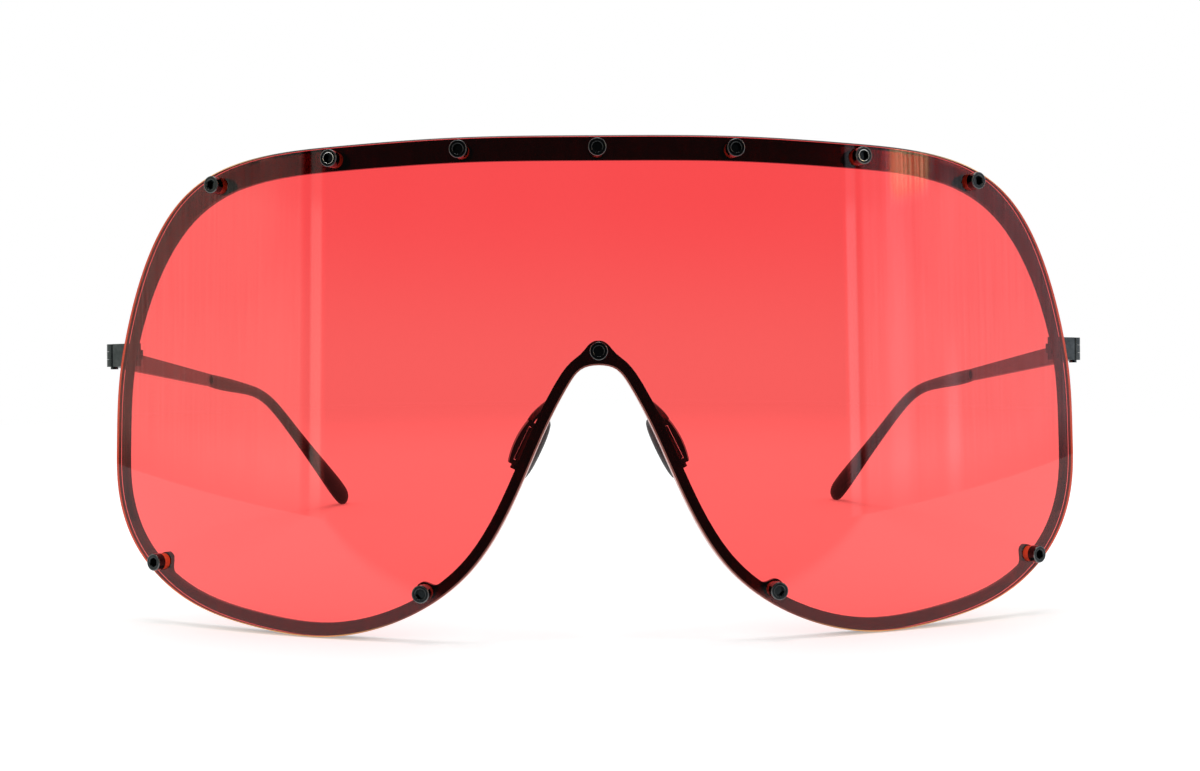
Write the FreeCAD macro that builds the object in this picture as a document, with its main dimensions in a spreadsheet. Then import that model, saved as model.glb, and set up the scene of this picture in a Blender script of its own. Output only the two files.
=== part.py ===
import FreeCAD, Part
import Sketcher
import math
import os
from FreeCAD import Placement, Rotation, Vector

# Shield sunglasses: one red lens screwed in front of a thin sheet-metal rim, with two folding temples and two
# rocking nose pads. Everything is laid out in the lens's own frame (x right, y back, z up from the lens's lowest
# line) and then leaned back until the temple tips stand on the same floor as the lens. Lengths are millimetres.

SIZES = {
    # lens, bent about one upright axis
    "lens_radius": 132.5,
    "lens_thickness": 2.0,
    "lens_half_arc": 79.8,
    "lens_height": 72.3,
    "lens_edge_chamfer": 0.2,
    "notch_half_mouth": 41.0,
    "notch_height": 39.4,
    "lens_hole_diameter": 2.4,
    # rim behind the lens
    "rim_thickness": 0.7,
    "rim_reveal": 0.05,
    "band_top": 3.4,
    "band_side": 1.32,
    "band_bottom": 1.87,
    "band_notch": 1.75,
    "lug_radius": 1.55,
    "lug_half_width": 1.5,
    # lens screws and their bushes
    "screw_pitch": 19.85,
    "screw_inset": 1.85,
    "lug_screw_inset": 2.0,
    "head_diameter": 2.6,
    "head_height": 1.3,
    "head_chamfer": 0.15,
    "socket_flats": 1.3,
    "socket_depth": 0.8,
    "shank_diameter": 1.4,
    "shank_tail": 0.3,
    "bush_wall": 0.4,
    "seat_clearance": 0.02,
    # end pieces
    "hinge_level": 41.85,
    "end_piece_height": 3.6,
    "end_piece_thickness": 1.1,
    "end_piece_seat": 0.9,
    "end_piece_tongue": 0.5,
    "tongue_height": 1.5,
    "end_piece_reach": 6.6,
    # hinges
    "barrel_radius": 1.15,
    "barrel_clearance": 0.2,
    "middle_barrel_height": 1.2,
    "barrel_gap": 0.05,
    "leaf_thickness": 0.8,
    "leaf_start": 2.2,
    "leaf_length": 3.6,
    "leaf_height": 2.6,
    "hinge_shank_diameter": 1.2,
    "hinge_head_diameter": 1.7,
    "hinge_head_height": 0.5,
    "hinge_screw_tail": 0.4,
    "slot_width": 0.3,
    "slot_depth": 0.25,
    "running_clearance": 0.03,
    # temples
    "toe_in_angle": 6.2,
    "temple_slope_angle": 4.4,
    "temple_thickness": 1.0,
    "temple_height": 3.1,
    "temple_height_at_tip": 2.2,
    "temple_start": 1.35,
    "temple_visible_length": 48.0,
    "core_length": 20.0,
    "core_height": 1.5,
    "core_end_height": 1.1,
    "core_clearance": 0.03,
    # temple tips
    "tip_bend_run": 86.0,
    "tip_end_run": 116.8,
    "tip_end_drop": 31.25,
    "tip_end_inward": 9.3,
    "tip_sleeve_height": 2.4,
    "tip_sleeve_thickness": 1.9,
    "tip_paddle_height": 4.3,
    "tip_paddle_thickness": 2.4,
    # nose pads
    "pad_out": 9.35,
    "pad_back": 9.0,
    "pad_level": 27.2,
    "pad_flare_angle": 26.0,
    "pad_splay_angle": 10.0,
    "pad_length": 9.8,
    "pad_width": 6.4,
    "pad_thickness": 1.3,
    "pad_edge_round": 0.5,
    "pad_drop": 0.2,
    "insert_length": 6.0,
    "insert_width": 3.2,
    "insert_thickness": 0.6,
    "insert_neck_width": 1.0,
    "lug_tube_radius": 0.7,
    "lug_tube_length": 5.2,
    "pad_pivot_height": 0.85,
    "bracket_round": 0.75,
    "bracket_cheek": 0.7,
    "bracket_cheek_gap": 0.1,
    "bracket_base_gap": 0.15,
    "bracket_base_thickness": 0.4,
    "bracket_bow": 0.45,
    "pad_screw_diameter": 0.8,
    "pad_screw_head_diameter": 1.4,
    "pad_screw_head_height": 0.6,
    "pad_screw_sink": 0.2,
    "arm_diameter": 1.1,
    "arm_lead": 1.6,
    "arm_end_depth": 0.4,
    # shared by every cut
    "overrun": 1.0,
}

# The lens's right half as shares of its half arc and its height below the top edge, from the top centre down the
# side to the lowest point of the lobe.
LENS_EDGE_SHARES = [
    (0.0, 0.0), (0.2504, 0.0), (0.4758, 0.008), (0.6583, 0.0245), (0.772, 0.0625), (0.840, 0.114),
    (0.8948, 0.187), (0.938, 0.277), (0.970, 0.374), (0.9925, 0.482), (1.0, 0.609), (0.997, 0.710),
    (0.9655, 0.803), (0.903, 0.880), (0.811, 0.941), (0.655, 0.987),
]
# The nose notch from the lobe's lowest point up to its apex, as shares of its half mouth and its height.
NOTCH_EDGE_SHARES = [
    (1.0, 0.0), (0.773, 0.045), (0.590, 0.136), (0.456, 0.253), (0.351, 0.408), (0.268, 0.583),
    (0.173, 0.802), (0.105, 0.931), (0.0585, 0.987), (0.0, 1.0),
]
# Where the rim's band changes width, as shares of the half outline from the top centre to the notch's apex.
TOP_BAND_END_SHARE = 0.27
SIDE_BAND_START_SHARE = 0.43
SIDE_BAND_END_SHARE = 0.55
BOTTOM_BAND_START_SHARE = 0.68
BOTTOM_BAND_END_SHARE = 0.78
NOTCH_BAND_START_SHARE = 0.86
# Screws off the top row and the pad arms' roots, as shares of the half outline.
LOWER_OUTER_SCREW_SHARE = 0.582
LOWER_INNER_SCREW_SHARE = 0.8046
PAD_ARM_SHARE = 0.962
# Screws along the top, as shares of the screw pitch counted from the centre.
TOP_SCREW_SHARES = [0.0, 1.0, 1.98, 3.02]
# How steeply a lug falls away on both sides of its screw.
LUG_FALL_POWER = 3.0
# Points sampled along an offset outline: everywhere, and closer together over each lug.
OUTLINE_SAMPLES = 70
LUG_SAMPLES = 17
LUG_REACH_SHARE = 2.4
# Runs that each half outline is rolled in.
OUTLINE_PIECES = 24
# The tip's sections along its path: share of the path, of the way from sleeve to paddle size, and of full size.
TIP_SECTION_SHARES = [
    (0.0, 0.0, 0.94), (0.02, 0.0, 1.0), (0.30, -0.12, 1.0), (0.50, -0.12, 1.0), (0.64, 0.02, 1.0),
    (0.78, 0.45, 1.0), (0.89, 0.92, 1.0), (0.955, 1.0, 1.0), (0.985, 1.0, 0.82), (0.9985, 1.0, 0.40),
]
# Where the tip's path is pulled between its straight runs, as shares of each run.
TIP_PULL_SHARE = 0.45
HEX_CORNERS = 6
LEAN_ROUNDS = 40
SECTION_SAMPLES = 48

doc = FreeCAD.newDocument("shield_sunglasses")
sheet = doc.addObject("Spreadsheet::Sheet", "sizes")
for row, (name, value) in enumerate(SIZES.items(), start=1):
    sheet.set(f"A{row}", name)
    sheet.set(f"B{row}", str(value))
    sheet.setAlias(f"B{row}", name)
doc.recompute()


def size(name):
    """Reads one driving dimension."""
    return float(sheet.get(name))


def bind(target, **expressions):
    """Ties properties of an object to the sheet; the words in an expression are the sheet's names."""
    for prop, expression in expressions.items():
        words = sorted(SIZES, key=len, reverse=True)
        text = ""
        rest = expression
        while rest:
            word = next((w for w in words if rest.startswith(w)), None)
            text += f"sizes.{word}" if word else rest[0]
            rest = rest[len(word):] if word else rest[1:]
        target.setExpression(prop.replace("__", "."), text)


def smooth_step(share, start, end):
    """Goes from 0 to 1 between two shares without a corner."""
    t = min(max((share - start) / (end - start), 0.0), 1.0)
    return t * t * (3.0 - 2.0 * t)


# Flat pattern
lens_radius = size("lens_radius")
lens_height = size("lens_height")
half_arc = size("lens_half_arc")
lens_back = size("lens_thickness")
rim_back = lens_back + size("rim_thickness")


def half_curve(points):
    """A smooth half outline that leaves the centre line square at both ends."""
    curve = Part.BSplineCurve()
    curve.interpolate(points, InitialTangent=Vector(1, 0, 0), FinalTangent=Vector(-1, 0, 0))
    return curve


lens_points = [Vector(half_arc * a, lens_height * (1.0 - b), 0) for a, b in LENS_EDGE_SHARES]
lens_points += [
    Vector(size("notch_half_mouth") * a, size("notch_height") * b, 0) for a, b in NOTCH_EDGE_SHARES
]
lens_curve = half_curve(lens_points)
half_length = lens_curve.length()


def edge_station(distance, inset):
    """A point of the flat pattern, a distance along the right half outline and an inset in from the edge."""
    inside = min(max(distance, 0.0), half_length)
    parameter = lens_curve.parameterAtDistance(inside, lens_curve.FirstParameter)
    parameter = min(max(parameter, lens_curve.FirstParameter), lens_curve.LastParameter)
    along = lens_curve.tangent(parameter)[0]
    point = lens_curve.value(parameter)
    return point + Vector(along.y, -along.x, 0) * inset


def lug_centres():
    """Distances along the half outline of the screws that sit on lugs."""
    return [half_length * share for share in (LOWER_OUTER_SCREW_SHARE, LOWER_INNER_SCREW_SHARE, 1.0)]


def band_width(distance):
    """The rim's width at a distance along the half outline, lugs included."""
    share = distance / half_length
    width = size("band_top")
    width += (size("band_side") - width) * smooth_step(share, TOP_BAND_END_SHARE, SIDE_BAND_START_SHARE)
    bottom = smooth_step(share, SIDE_BAND_END_SHARE, BOTTOM_BAND_START_SHARE)
    width += (size("band_bottom") - size("band_side")) * bottom
    notch = smooth_step(share, BOTTOM_BAND_END_SHARE, NOTCH_BAND_START_SHARE)
    width += (size("band_notch") - size("band_bottom")) * notch
    crown = size("lug_screw_inset") + size("lug_radius") - size("rim_reveal") - width
    for centre in lug_centres():
        away = abs(distance - centre) / size("lug_half_width")
        width += crown * math.exp(-(away ** LUG_FALL_POWER))
    return width


def sample_distances():
    """Distances along the half outline: even everywhere and dense over the lugs."""
    distances = {half_length * i / OUTLINE_SAMPLES for i in range(OUTLINE_SAMPLES + 1)}
    reach = size("lug_half_width") * LUG_REACH_SHARE
    spacing = half_length / OUTLINE_SAMPLES
    for centre in lug_centres():
        distances = {d for d in distances if abs(d - centre) > reach + spacing / 2.0}
        for i in range(LUG_SAMPLES):
            step = centre - reach + 2.0 * reach * i / (LUG_SAMPLES - 1)
            if step <= half_length:
                distances.add(step)
    distances.add(half_length)
    return sorted(distances)


def offset_curve(inset_at):
    """The half outline moved in by an inset that may change along it."""
    points = [edge_station(d, inset_at(d)) for d in sample_distances()]
    points[0].x = 0.0
    points[-1].x = 0.0
    return half_curve(points)


def curve_pieces(curve):
    """A half outline cut into short runs, each a curve of its own."""
    start = curve.FirstParameter
    step = (curve.LastParameter - start) / OUTLINE_PIECES
    pieces = []
    for index in range(OUTLINE_PIECES):
        piece = curve.copy()
        piece.segment(start + step * index, start + step * (index + 1))
        pieces.append(piece)
    return pieces


def rolled_edges(curve, depth):
    """Both halves of a flat outline, rolled onto the cylinder at a depth behind the lens's front."""
    cylinder = Part.Cylinder()
    cylinder.Radius = lens_radius - depth
    cylinder.Center = Vector(0, lens_radius, 0)
    cylinder.Axis = Vector(0, 0, 1)
    edges = []
    for side in (1.0, -1.0):
        for piece in curve_pieces(curve):
            poles = [
                FreeCAD.Base.Vector2d(1.5 * math.pi + side * pole.x / lens_radius, pole.y)
                for pole in piece.getPoles()
            ]
            flat = Part.Geom2d.BSplineCurve2d()
            flat.buildFromPolesMultsKnots(
                poles, piece.getMultiplicities(), piece.getKnots(), False, piece.Degree
            )
            edges.append(flat.toShape(cylinder))
    return cylinder, edges


def rolled_walls(rolled):
    """The walls between neighbouring loops, square to the rolled faces."""
    walls = []
    for (_, front), (_, back) in zip(rolled, rolled[1:]):
        walls += [Part.makeRuledSurface(first, second) for first, second in zip(front, back)]
    return walls


def rolled_solid(loops, window=()):
    """A rolled sheet from (curve, depth) loops, closed by curved faces at the first and the last; a window is cut
    by two loops at the same two depths."""
    outer = [rolled_edges(curve, depth) for curve, depth in loops]
    inner = [rolled_edges(curve, depth) for curve, depth in window]
    faces = rolled_walls(outer) + rolled_walls(inner)
    for index in (0, -1):
        cylinder, edges = outer[index]
        face = Part.Face(cylinder, Part.Wire(Part.__sortEdges__(edges)))
        if inner:
            face.cutHoles([Part.Wire(Part.__sortEdges__(inner[index][1]))])
        face.validate()
        faces.append(face)
    shell = Part.makeShell(faces)
    shell.sewShape()
    solid = Part.makeSolid(shell)
    if solid.Volume < 0:
        solid.reverse()
    return solid


def rolled_place(u, z, depth):
    """A frame on the rolled sheet: x along the arc, y up, z straight out towards the viewer."""
    angle = u / lens_radius
    radius = lens_radius - depth
    out = Vector(math.sin(angle), -math.cos(angle), 0)
    base = Vector(0, lens_radius, z) + out * radius
    along = Vector(math.cos(angle), math.sin(angle), 0)
    return Placement(base, Rotation(along, Vector(0, 0, 1), out, "ZXY"))


# Screw places
screw_flats = []
for share in TOP_SCREW_SHARES:
    flat = edge_station(share * size("screw_pitch"), size("screw_inset"))
    screw_flats += [(flat.x, flat.y), (-flat.x, flat.y)] if share else [(0.0, flat.y)]
for share in (LOWER_OUTER_SCREW_SHARE, LOWER_INNER_SCREW_SHARE):
    flat = edge_station(half_length * share, size("lug_screw_inset"))
    screw_flats += [(flat.x, flat.y), (-flat.x, flat.y)]
apex = edge_station(half_length, size("lug_screw_inset"))
screw_flats.append((0.0, apex.y))
screw_seats = [rolled_place(u, z, 0.0) for u, z in screw_flats]

nodes = {}


def keep(target, label):
    """Names a finished sub-part and puts it on the list to be written."""
    target.Label = label
    nodes[label] = target
    return target


def feature(label, shape):
    """A sub-part whose shape is worked out here."""
    target = doc.addObject("Part::Feature", label)
    target.Shape = shape
    return target


def drilled(solid, diameter, thickness):
    """A rolled sheet with one round hole square through it at every screw."""
    overrun = size("overrun")
    drills = []
    for seat in screw_seats:
        drill = Part.makeCylinder(diameter / 2.0, thickness + 2.0 * overrun, Vector(0, 0, -thickness - overrun))
        drill.Placement = seat
        drills.append(drill)
    return solid.cut(drills)


# Lens
chamfer = size("lens_edge_chamfer")
lens_front_curve = offset_curve(lambda d: chamfer)
lens_full_curve = offset_curve(lambda d: 0.0)
lens_sheet = rolled_solid([(lens_front_curve, 0.0), (lens_full_curve, chamfer), (lens_full_curve, lens_back)])
lens = keep(feature("lens_shield", drilled(lens_sheet, size("lens_hole_diameter"), lens_back)), "lens_shield")

# Rim
rim_edge_curve = offset_curve(lambda d: size("rim_reveal"))
rim_window_curve = offset_curve(lambda d: size("rim_reveal") + band_width(d))
rim_sheet = rolled_solid(
    [(rim_edge_curve, lens_back), (rim_edge_curve, rim_back)],
    [(rim_window_curve, lens_back), (rim_window_curve, rim_back)],
)
rim_hole = size("shank_diameter") + 2.0 * size("seat_clearance")
rim_shape = drilled(rim_sheet, rim_hole, rim_back)
rim = keep(feature("front_frame", rim_shape), "front_frame")


def origin_plane(body, role):
    """One of a body's own origin planes or axes."""
    return next(f for f in body.Origin.OriginFeatures if f.Role == role)


def sketch_on(body, role, name):
    """An empty sketch on one of a body's origin planes."""
    sketch = body.newObject("Sketcher::SketchObject", name)
    sketch.AttachmentSupport = (origin_plane(body, role), [""])
    sketch.MapMode = "FlatFace"
    return sketch


def polygon(sketch, corners):
    """A closed run of straight lines in a sketch."""
    points = [Vector(a, b, 0) for a, b in corners]
    for start, end in zip(points, points[1:] + points[:1]):
        sketch.addGeometry(Part.LineSegment(start, end), False)


def new_body(name):
    return doc.addObject("PartDesign::Body", name)


def turned_screw(name, profile):
    """A screw turned about its upright axis from half a profile of (radius, height) corners."""
    body = new_body(name)
    sketch = sketch_on(body, "XZ_Plane", name + "_profile")
    polygon(sketch, profile)
    turn = body.newObject("PartDesign::Revolution", name + "_turn")
    turn.Profile = sketch
    turn.ReferenceAxis = (sketch, ["V_Axis"])
    turn.Angle = 360.0
    return body


def cut_from_top(body, name, corners, **bound):
    """A recess of a given outline cut down from a level, both tied to the sheet."""
    sketch = sketch_on(body, "XY_Plane", name + "_outline")
    bind(sketch, AttachmentOffset__Base__z=bound["level"])
    polygon(sketch, corners)
    doc.recompute()
    pocket = body.newObject("PartDesign::Pocket", name)
    pocket.Profile = sketch
    bind(pocket, Length=bound["depth"])
    return pocket


def slot_corners(half_length_of_slot, half_width):
    return [
        (-half_length_of_slot, -half_width), (half_length_of_slot, -half_width),
        (half_length_of_slot, half_width), (-half_length_of_slot, half_width),
    ]


# One lens screw: its seat is at height zero, its head above and its shank below
head_radius = size("head_diameter") / 2.0
shank_radius = size("shank_diameter") / 2.0
head_top = size("head_height")
head_chamfer = size("head_chamfer")
shank_end = -rim_back - size("shank_tail")
screw = turned_screw("lens_screw", [
    (0, shank_end), (shank_radius - head_chamfer, shank_end), (shank_radius, shank_end + head_chamfer),
    (shank_radius, 0), (head_radius, 0), (head_radius, head_top - head_chamfer),
    (head_radius - head_chamfer, head_top), (0, head_top),
])
socket_radius = size("socket_flats") / 2.0 / math.cos(math.pi / HEX_CORNERS)
hexagon = [
    (socket_radius * math.cos(2.0 * math.pi * i / HEX_CORNERS),
     socket_radius * math.sin(2.0 * math.pi * i / HEX_CORNERS)) for i in range(HEX_CORNERS)
]
cut_from_top(screw, "lens_screw_socket", hexagon, level="head_height", depth="socket_depth")

# One bush: a sleeve in the lens hole round the shank
bush = new_body("lens_bush")
bush_sketch = sketch_on(bush, "XY_Plane", "lens_bush_ring")
hole_radius = size("lens_hole_diameter") / 2.0
for radius in (shank_radius, hole_radius):
    bush_sketch.addGeometry(Part.Circle(Vector(0, 0, 0), Vector(0, 0, 1), radius), False)
outer_ring = bush_sketch.addConstraint(Sketcher.Constraint("Diameter", 1, size("lens_hole_diameter")))
inner_ring = bush_sketch.addConstraint(Sketcher.Constraint("Diameter", 0, size("shank_diameter")))
bind(bush_sketch, **{
    f"Constraints[{outer_ring}]": "lens_hole_diameter - 2 * seat_clearance",
    f"Constraints[{inner_ring}]": "lens_hole_diameter - 2 * bush_wall",
})
bush_pad = bush.newObject("PartDesign::Pad", "lens_bush_pad")
bush_pad.Profile = bush_sketch
bush_pad.Reversed = True
bind(bush_pad, Length="lens_thickness")
doc.recompute()


def copies(label, body):
    """One node made of a copy of a body at every screw."""
    solids = []
    for seat in screw_seats:
        solid = body.Shape.copy()
        solid.Placement = seat.multiply(solid.Placement)
        solids.append(solid)
    return keep(feature(label, Part.makeCompound(solids)), label)


lens_screws = copies("lens_screws", screw)
lens_bushes = copies("lens_bushes", bush)

# Where the right end piece leaves the rim: on its rear face at the hinge's level
hinge_level = size("hinge_level")
side_steps = [half_length * i / OUTLINE_SAMPLES for i in range(OUTLINE_SAMPLES + 1)]
side_points = [edge_station(d, size("rim_reveal")) for d in side_steps]
crossing = next(
    (a, b) for a, b in zip(side_points, side_points[1:]) if a.y >= hinge_level > b.y
)
cross_share = (crossing[0].y - hinge_level) / (crossing[0].y - crossing[1].y)
edge_arc = crossing[0].x + (crossing[1].x - crossing[0].x) * cross_share
edge_angle = edge_arc / lens_radius
edge_along = Vector(math.cos(edge_angle), math.sin(edge_angle), 0)
edge_inward = Vector(-math.sin(edge_angle), math.cos(edge_angle), 0)
rear_radius = lens_radius - rim_back
plate = size("end_piece_thickness")
leaf_half = size("leaf_thickness") / 2.0
edge_point = Vector(0, lens_radius, 0) - edge_inward * rear_radius
hinge_point = edge_point + edge_along * size("end_piece_reach") + edge_inward * (plate + leaf_half)
hinge_point.z = hinge_level
hinge_place = Placement(hinge_point, Rotation(edge_along, edge_inward, Vector(0, 0, 1), "ZXY"))


def seat_profile(sketch, inner_arc, end_distance):
    """A strip's plan: along the rim's rear face from an inner place, then straight on past the rim's edge."""
    centre = Vector(0, lens_radius, 0)
    inner_angle = inner_arc / lens_radius
    inner_dir = Vector(math.sin(inner_angle), -math.cos(inner_angle), 0)
    corners = {}
    for key, radius in (("front", rear_radius), ("back", rear_radius - plate)):
        middle_angle = (inner_angle + edge_angle) / 2.0
        middle = centre + Vector(math.sin(middle_angle), -math.cos(middle_angle), 0) * radius
        inner = centre + inner_dir * radius
        outer = centre - edge_inward * radius
        sketch.addGeometry(Part.Arc(inner, middle, outer), False)
        corners[key] = (inner, outer, outer + edge_along * end_distance)
    for key in corners:
        if end_distance:
            sketch.addGeometry(Part.LineSegment(corners[key][1], corners[key][2]), False)
    sketch.addGeometry(Part.LineSegment(corners["front"][2], corners["back"][2]), False)
    sketch.addGeometry(Part.LineSegment(corners["front"][0], corners["back"][0]), False)


def strip_pad(body, name, inner_arc, end_distance, height_name):
    """A pad of a strip's plan, centred on the hinge's level."""
    sketch = sketch_on(body, "XY_Plane", name + "_plan")
    bind(sketch, AttachmentOffset__Base__z="hinge_level")
    seat_profile(sketch, inner_arc, end_distance)
    pad = body.newObject("PartDesign::Pad", name)
    pad.Profile = sketch
    pad.SideType = "Symmetric"
    bind(pad, Length=height_name)
    doc.recompute()
    return pad


end_piece = new_body("end_piece_right")
end_distance = size("end_piece_reach") - size("barrel_radius") - size("barrel_clearance")
seat_arc = edge_arc - size("end_piece_seat")
strip_pad(end_piece, "end_piece_strip", seat_arc, end_distance, "end_piece_height")
strip_pad(end_piece, "end_piece_tongue_strip", seat_arc - size("end_piece_tongue"), 0.0, "tongue_height")
keep(end_piece, "end_piece_right")


def cylinder(name, base, axis, **bound):
    """A round bar from a base point along an axis, with its sizes tied to the sheet."""
    bar = doc.addObject("Part::Cylinder", name)
    bind(bar, Radius=bound["radius"], Height=bound["height"])
    bar.Placement = Placement(base, Rotation(Vector(0, 0, 1), axis))
    return bar


def block(name, corner, **bound):
    """A block from its lowest corner, with its sizes tied to the sheet."""
    box = doc.addObject("Part::Box", name)
    bind(box, Length=bound["x"], Width=bound["y"], Height=bound["z"])
    box.Placement = Placement(corner, Rotation())
    return box


def fused(name, parts):
    joined = doc.addObject("Part::MultiFuse", name)
    joined.Shapes = parts
    joined.Refine = True
    return joined


def less(name, base, tools):
    tool = tools[0] if len(tools) == 1 else fused(name + "_tools", tools)
    result = doc.addObject("Part::Cut", name)
    result.Base = base
    result.Tool = tool
    result.Refine = True
    return result


# Hinge: barrels, leaves and screw, about the hinge's axis at the middle of its height
up = Vector(0, 0, 1)
overrun = size("overrun")
hinge_half = size("end_piece_height") / 2.0
middle_half = size("middle_barrel_height") / 2.0
outer_start = middle_half + size("barrel_gap")
outer_height = "end_piece_height / 2 - middle_barrel_height / 2 - barrel_gap"
leaf_start = size("leaf_start")
leaf_length = size("leaf_length")
leaf_height = size("leaf_height")
front_parts = [
    block(
        "front_leaf", Vector(-leaf_start - leaf_length, -leaf_half, -hinge_half),
        x="leaf_length", y="leaf_thickness", z="end_piece_height",
    )
]
for name, low in (("upper", outer_start), ("lower", -hinge_half)):
    front_parts.append(
        cylinder(f"front_barrel_{name}", Vector(0, 0, low), up, radius="barrel_radius", height=outer_height)
    )
    front_parts.append(
        block(
            f"front_neck_{name}", Vector(-leaf_start, -leaf_half, low),
            x="leaf_start", y="leaf_thickness", z=outer_height,
        )
    )
front_bores = [
    cylinder(
        "front_bore", Vector(0, 0, -hinge_half - overrun), up,
        radius="hinge_shank_diameter / 2 + seat_clearance", height="end_piece_height + 2 * overrun",
    ),
    cylinder(
        "front_counterbore", Vector(0, 0, hinge_half - size("hinge_head_height") - size("seat_clearance")), up,
        radius="hinge_head_diameter / 2 + seat_clearance", height="hinge_head_height + overrun",
    ),
]
hinge_front = keep(less("hinge_front_right", fused("front_body", front_parts), front_bores), "hinge_front_right")
hinge_front.Placement = hinge_place

rear_parts = [
    block(
        "rear_leaf", Vector(leaf_start, -leaf_half, -leaf_height / 2.0),
        x="leaf_length", y="leaf_thickness", z="leaf_height",
    ),
    cylinder("rear_barrel", Vector(0, 0, -middle_half), up, radius="barrel_radius", height="middle_barrel_height"),
    block(
        "rear_neck", Vector(0, -leaf_half, -middle_half),
        x="leaf_start", y="leaf_thickness", z="middle_barrel_height",
    ),
]
rear_bore = cylinder(
    "rear_bore", Vector(0, 0, -middle_half - overrun), up,
    radius="hinge_shank_diameter / 2 + running_clearance", height="middle_barrel_height + 2 * overrun",
)
hinge_rear = keep(less("hinge_rear_right", fused("rear_body", rear_parts), [rear_bore]), "hinge_rear_right")
toe_in = math.radians(size("toe_in_angle"))
temple_along = Vector(-math.sin(toe_in), math.cos(toe_in), 0)
temple_inward = Vector(-math.cos(toe_in), -math.sin(toe_in), 0)
temple_place = Placement(hinge_point, Rotation(temple_along, temple_inward, up, "ZXY"))
hinge_rear.Placement = temple_place

hinge_shank = size("hinge_shank_diameter") / 2.0
hinge_head = size("hinge_head_diameter") / 2.0
hinge_head_low = hinge_half - size("hinge_head_height")
hinge_screw_end = -hinge_half - size("hinge_screw_tail")
hinge_screw = turned_screw("hinge_screw_right", [
    (0, hinge_screw_end), (hinge_shank, hinge_screw_end), (hinge_shank, hinge_head_low),
    (hinge_head, hinge_head_low), (hinge_head, hinge_half), (0, hinge_half),
])
slot_half = size("slot_width") / 2.0
cut_from_top(
    hinge_screw, "hinge_screw_slot", slot_corners(hinge_head + overrun, slot_half),
    level="end_piece_height / 2", depth="slot_depth",
)
keep(hinge_screw, "hinge_screw_right").Placement = hinge_place

# Temple: a tapering strip against the rear leaf's outer face, with a core that goes into the tip
slope = math.tan(math.radians(size("temple_slope_angle")))
temple_start = size("temple_start")
sleeve_start = temple_start + size("temple_visible_length")
core_end = sleeve_start + size("core_length")
temple_thickness = size("temple_thickness")


def drop(run):
    """How far the temple's middle line is below the hinge at a run behind it."""
    return -slope * run


def strip_corners(stations):
    """A strip's side view from (run, half height) stations."""
    top = [(run, drop(run) + half) for run, half in stations]
    bottom = [(run, drop(run) - half) for run, half in reversed(stations)]
    return top + bottom


temple = new_body("temple_right")
temple_sketch = sketch_on(temple, "XZ_Plane", "temple_side")
bind(temple_sketch, AttachmentOffset__Base__z="leaf_thickness / 2 + temple_thickness / 2")
polygon(temple_sketch, strip_corners([
    (temple_start, size("temple_height") / 2.0), (sleeve_start, size("temple_height_at_tip") / 2.0),
    (sleeve_start, size("core_height") / 2.0), (core_end, size("core_end_height") / 2.0),
]))
temple_pad = temple.newObject("PartDesign::Pad", "temple_strip")
temple_pad.Profile = temple_sketch
temple_pad.SideType = "Symmetric"
bind(temple_pad, Length="temple_thickness")
keep(temple, "temple_right").Placement = temple_place
doc.recompute()

# Temple tip: sections along a path that runs on from the temple, then bends down and in
strip_offset = -leaf_half - temple_thickness / 2.0
tip_start = Vector(sleeve_start, strip_offset, drop(sleeve_start))
tip_corner = Vector(size("tip_bend_run"), strip_offset, drop(size("tip_bend_run")))
tip_end = Vector(size("tip_end_run"), size("tip_end_inward") + strip_offset, -size("tip_end_drop"))
tip_path = Part.BSplineCurve()
tip_path.buildFromPoles([
    tip_start, tip_start + (tip_corner - tip_start) * TIP_PULL_SHARE,
    tip_corner - (tip_corner - tip_start) * (TIP_PULL_SHARE / 2.0), tip_corner,
    tip_corner + (tip_end - tip_corner) * TIP_PULL_SHARE, tip_end,
])
tip_length = tip_path.length()
tip_sections = []
for index, (path_share, paddle_share, full_share) in enumerate(TIP_SECTION_SHARES):
    parameter = tip_path.parameterAtDistance(tip_length * path_share, tip_path.FirstParameter)
    ahead = tip_path.tangent(parameter)[0]
    side = up.cross(ahead).normalize()
    section = doc.addObject("Part::Ellipse", f"tip_section_{index}")
    grown = "({0}_height + ({1}_height - {0}_height) * {2}) / 2 * {3}"
    grown_thickness = "({0}_thickness + ({1}_thickness - {0}_thickness) * {2}) / 2 * {3}"
    words = ("tip_sleeve", "tip_paddle", paddle_share, full_share)
    section.MajorRadius = size("tip_paddle_height")
    bind(section, MinorRadius=grown_thickness.format(*words), MajorRadius=grown.format(*words))
    section.Placement = Placement(tip_path.value(parameter), Rotation(ahead.cross(side), side * -1.0, ahead, "ZXY"))
    tip_sections.append(section)
tip_loft = doc.addObject("Part::Loft", "tip_loft")
tip_loft.Sections = tip_sections
tip_loft.Solid = True
tip_loft.Ruled = False
fit = size("core_clearance")
core_room = new_body("core_room")
core_sketch = sketch_on(core_room, "XZ_Plane", "core_side")
bind(core_sketch, AttachmentOffset__Base__z="leaf_thickness / 2 + temple_thickness / 2")
polygon(core_sketch, strip_corners([
    (sleeve_start - overrun, size("core_height") / 2.0 + fit), (sleeve_start, size("core_height") / 2.0 + fit),
    (core_end + fit, size("core_end_height") / 2.0 + fit),
]))
core_pad = core_room.newObject("PartDesign::Pad", "core_room_pad")
core_pad.Profile = core_sketch
core_pad.SideType = "Symmetric"
bind(core_pad, Length="temple_thickness + 2 * core_clearance")
temple_tip = keep(less("temple_tip_right", tip_loft, [core_room]), "temple_tip_right")
temple_tip.Placement = temple_place
doc.recompute()

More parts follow.
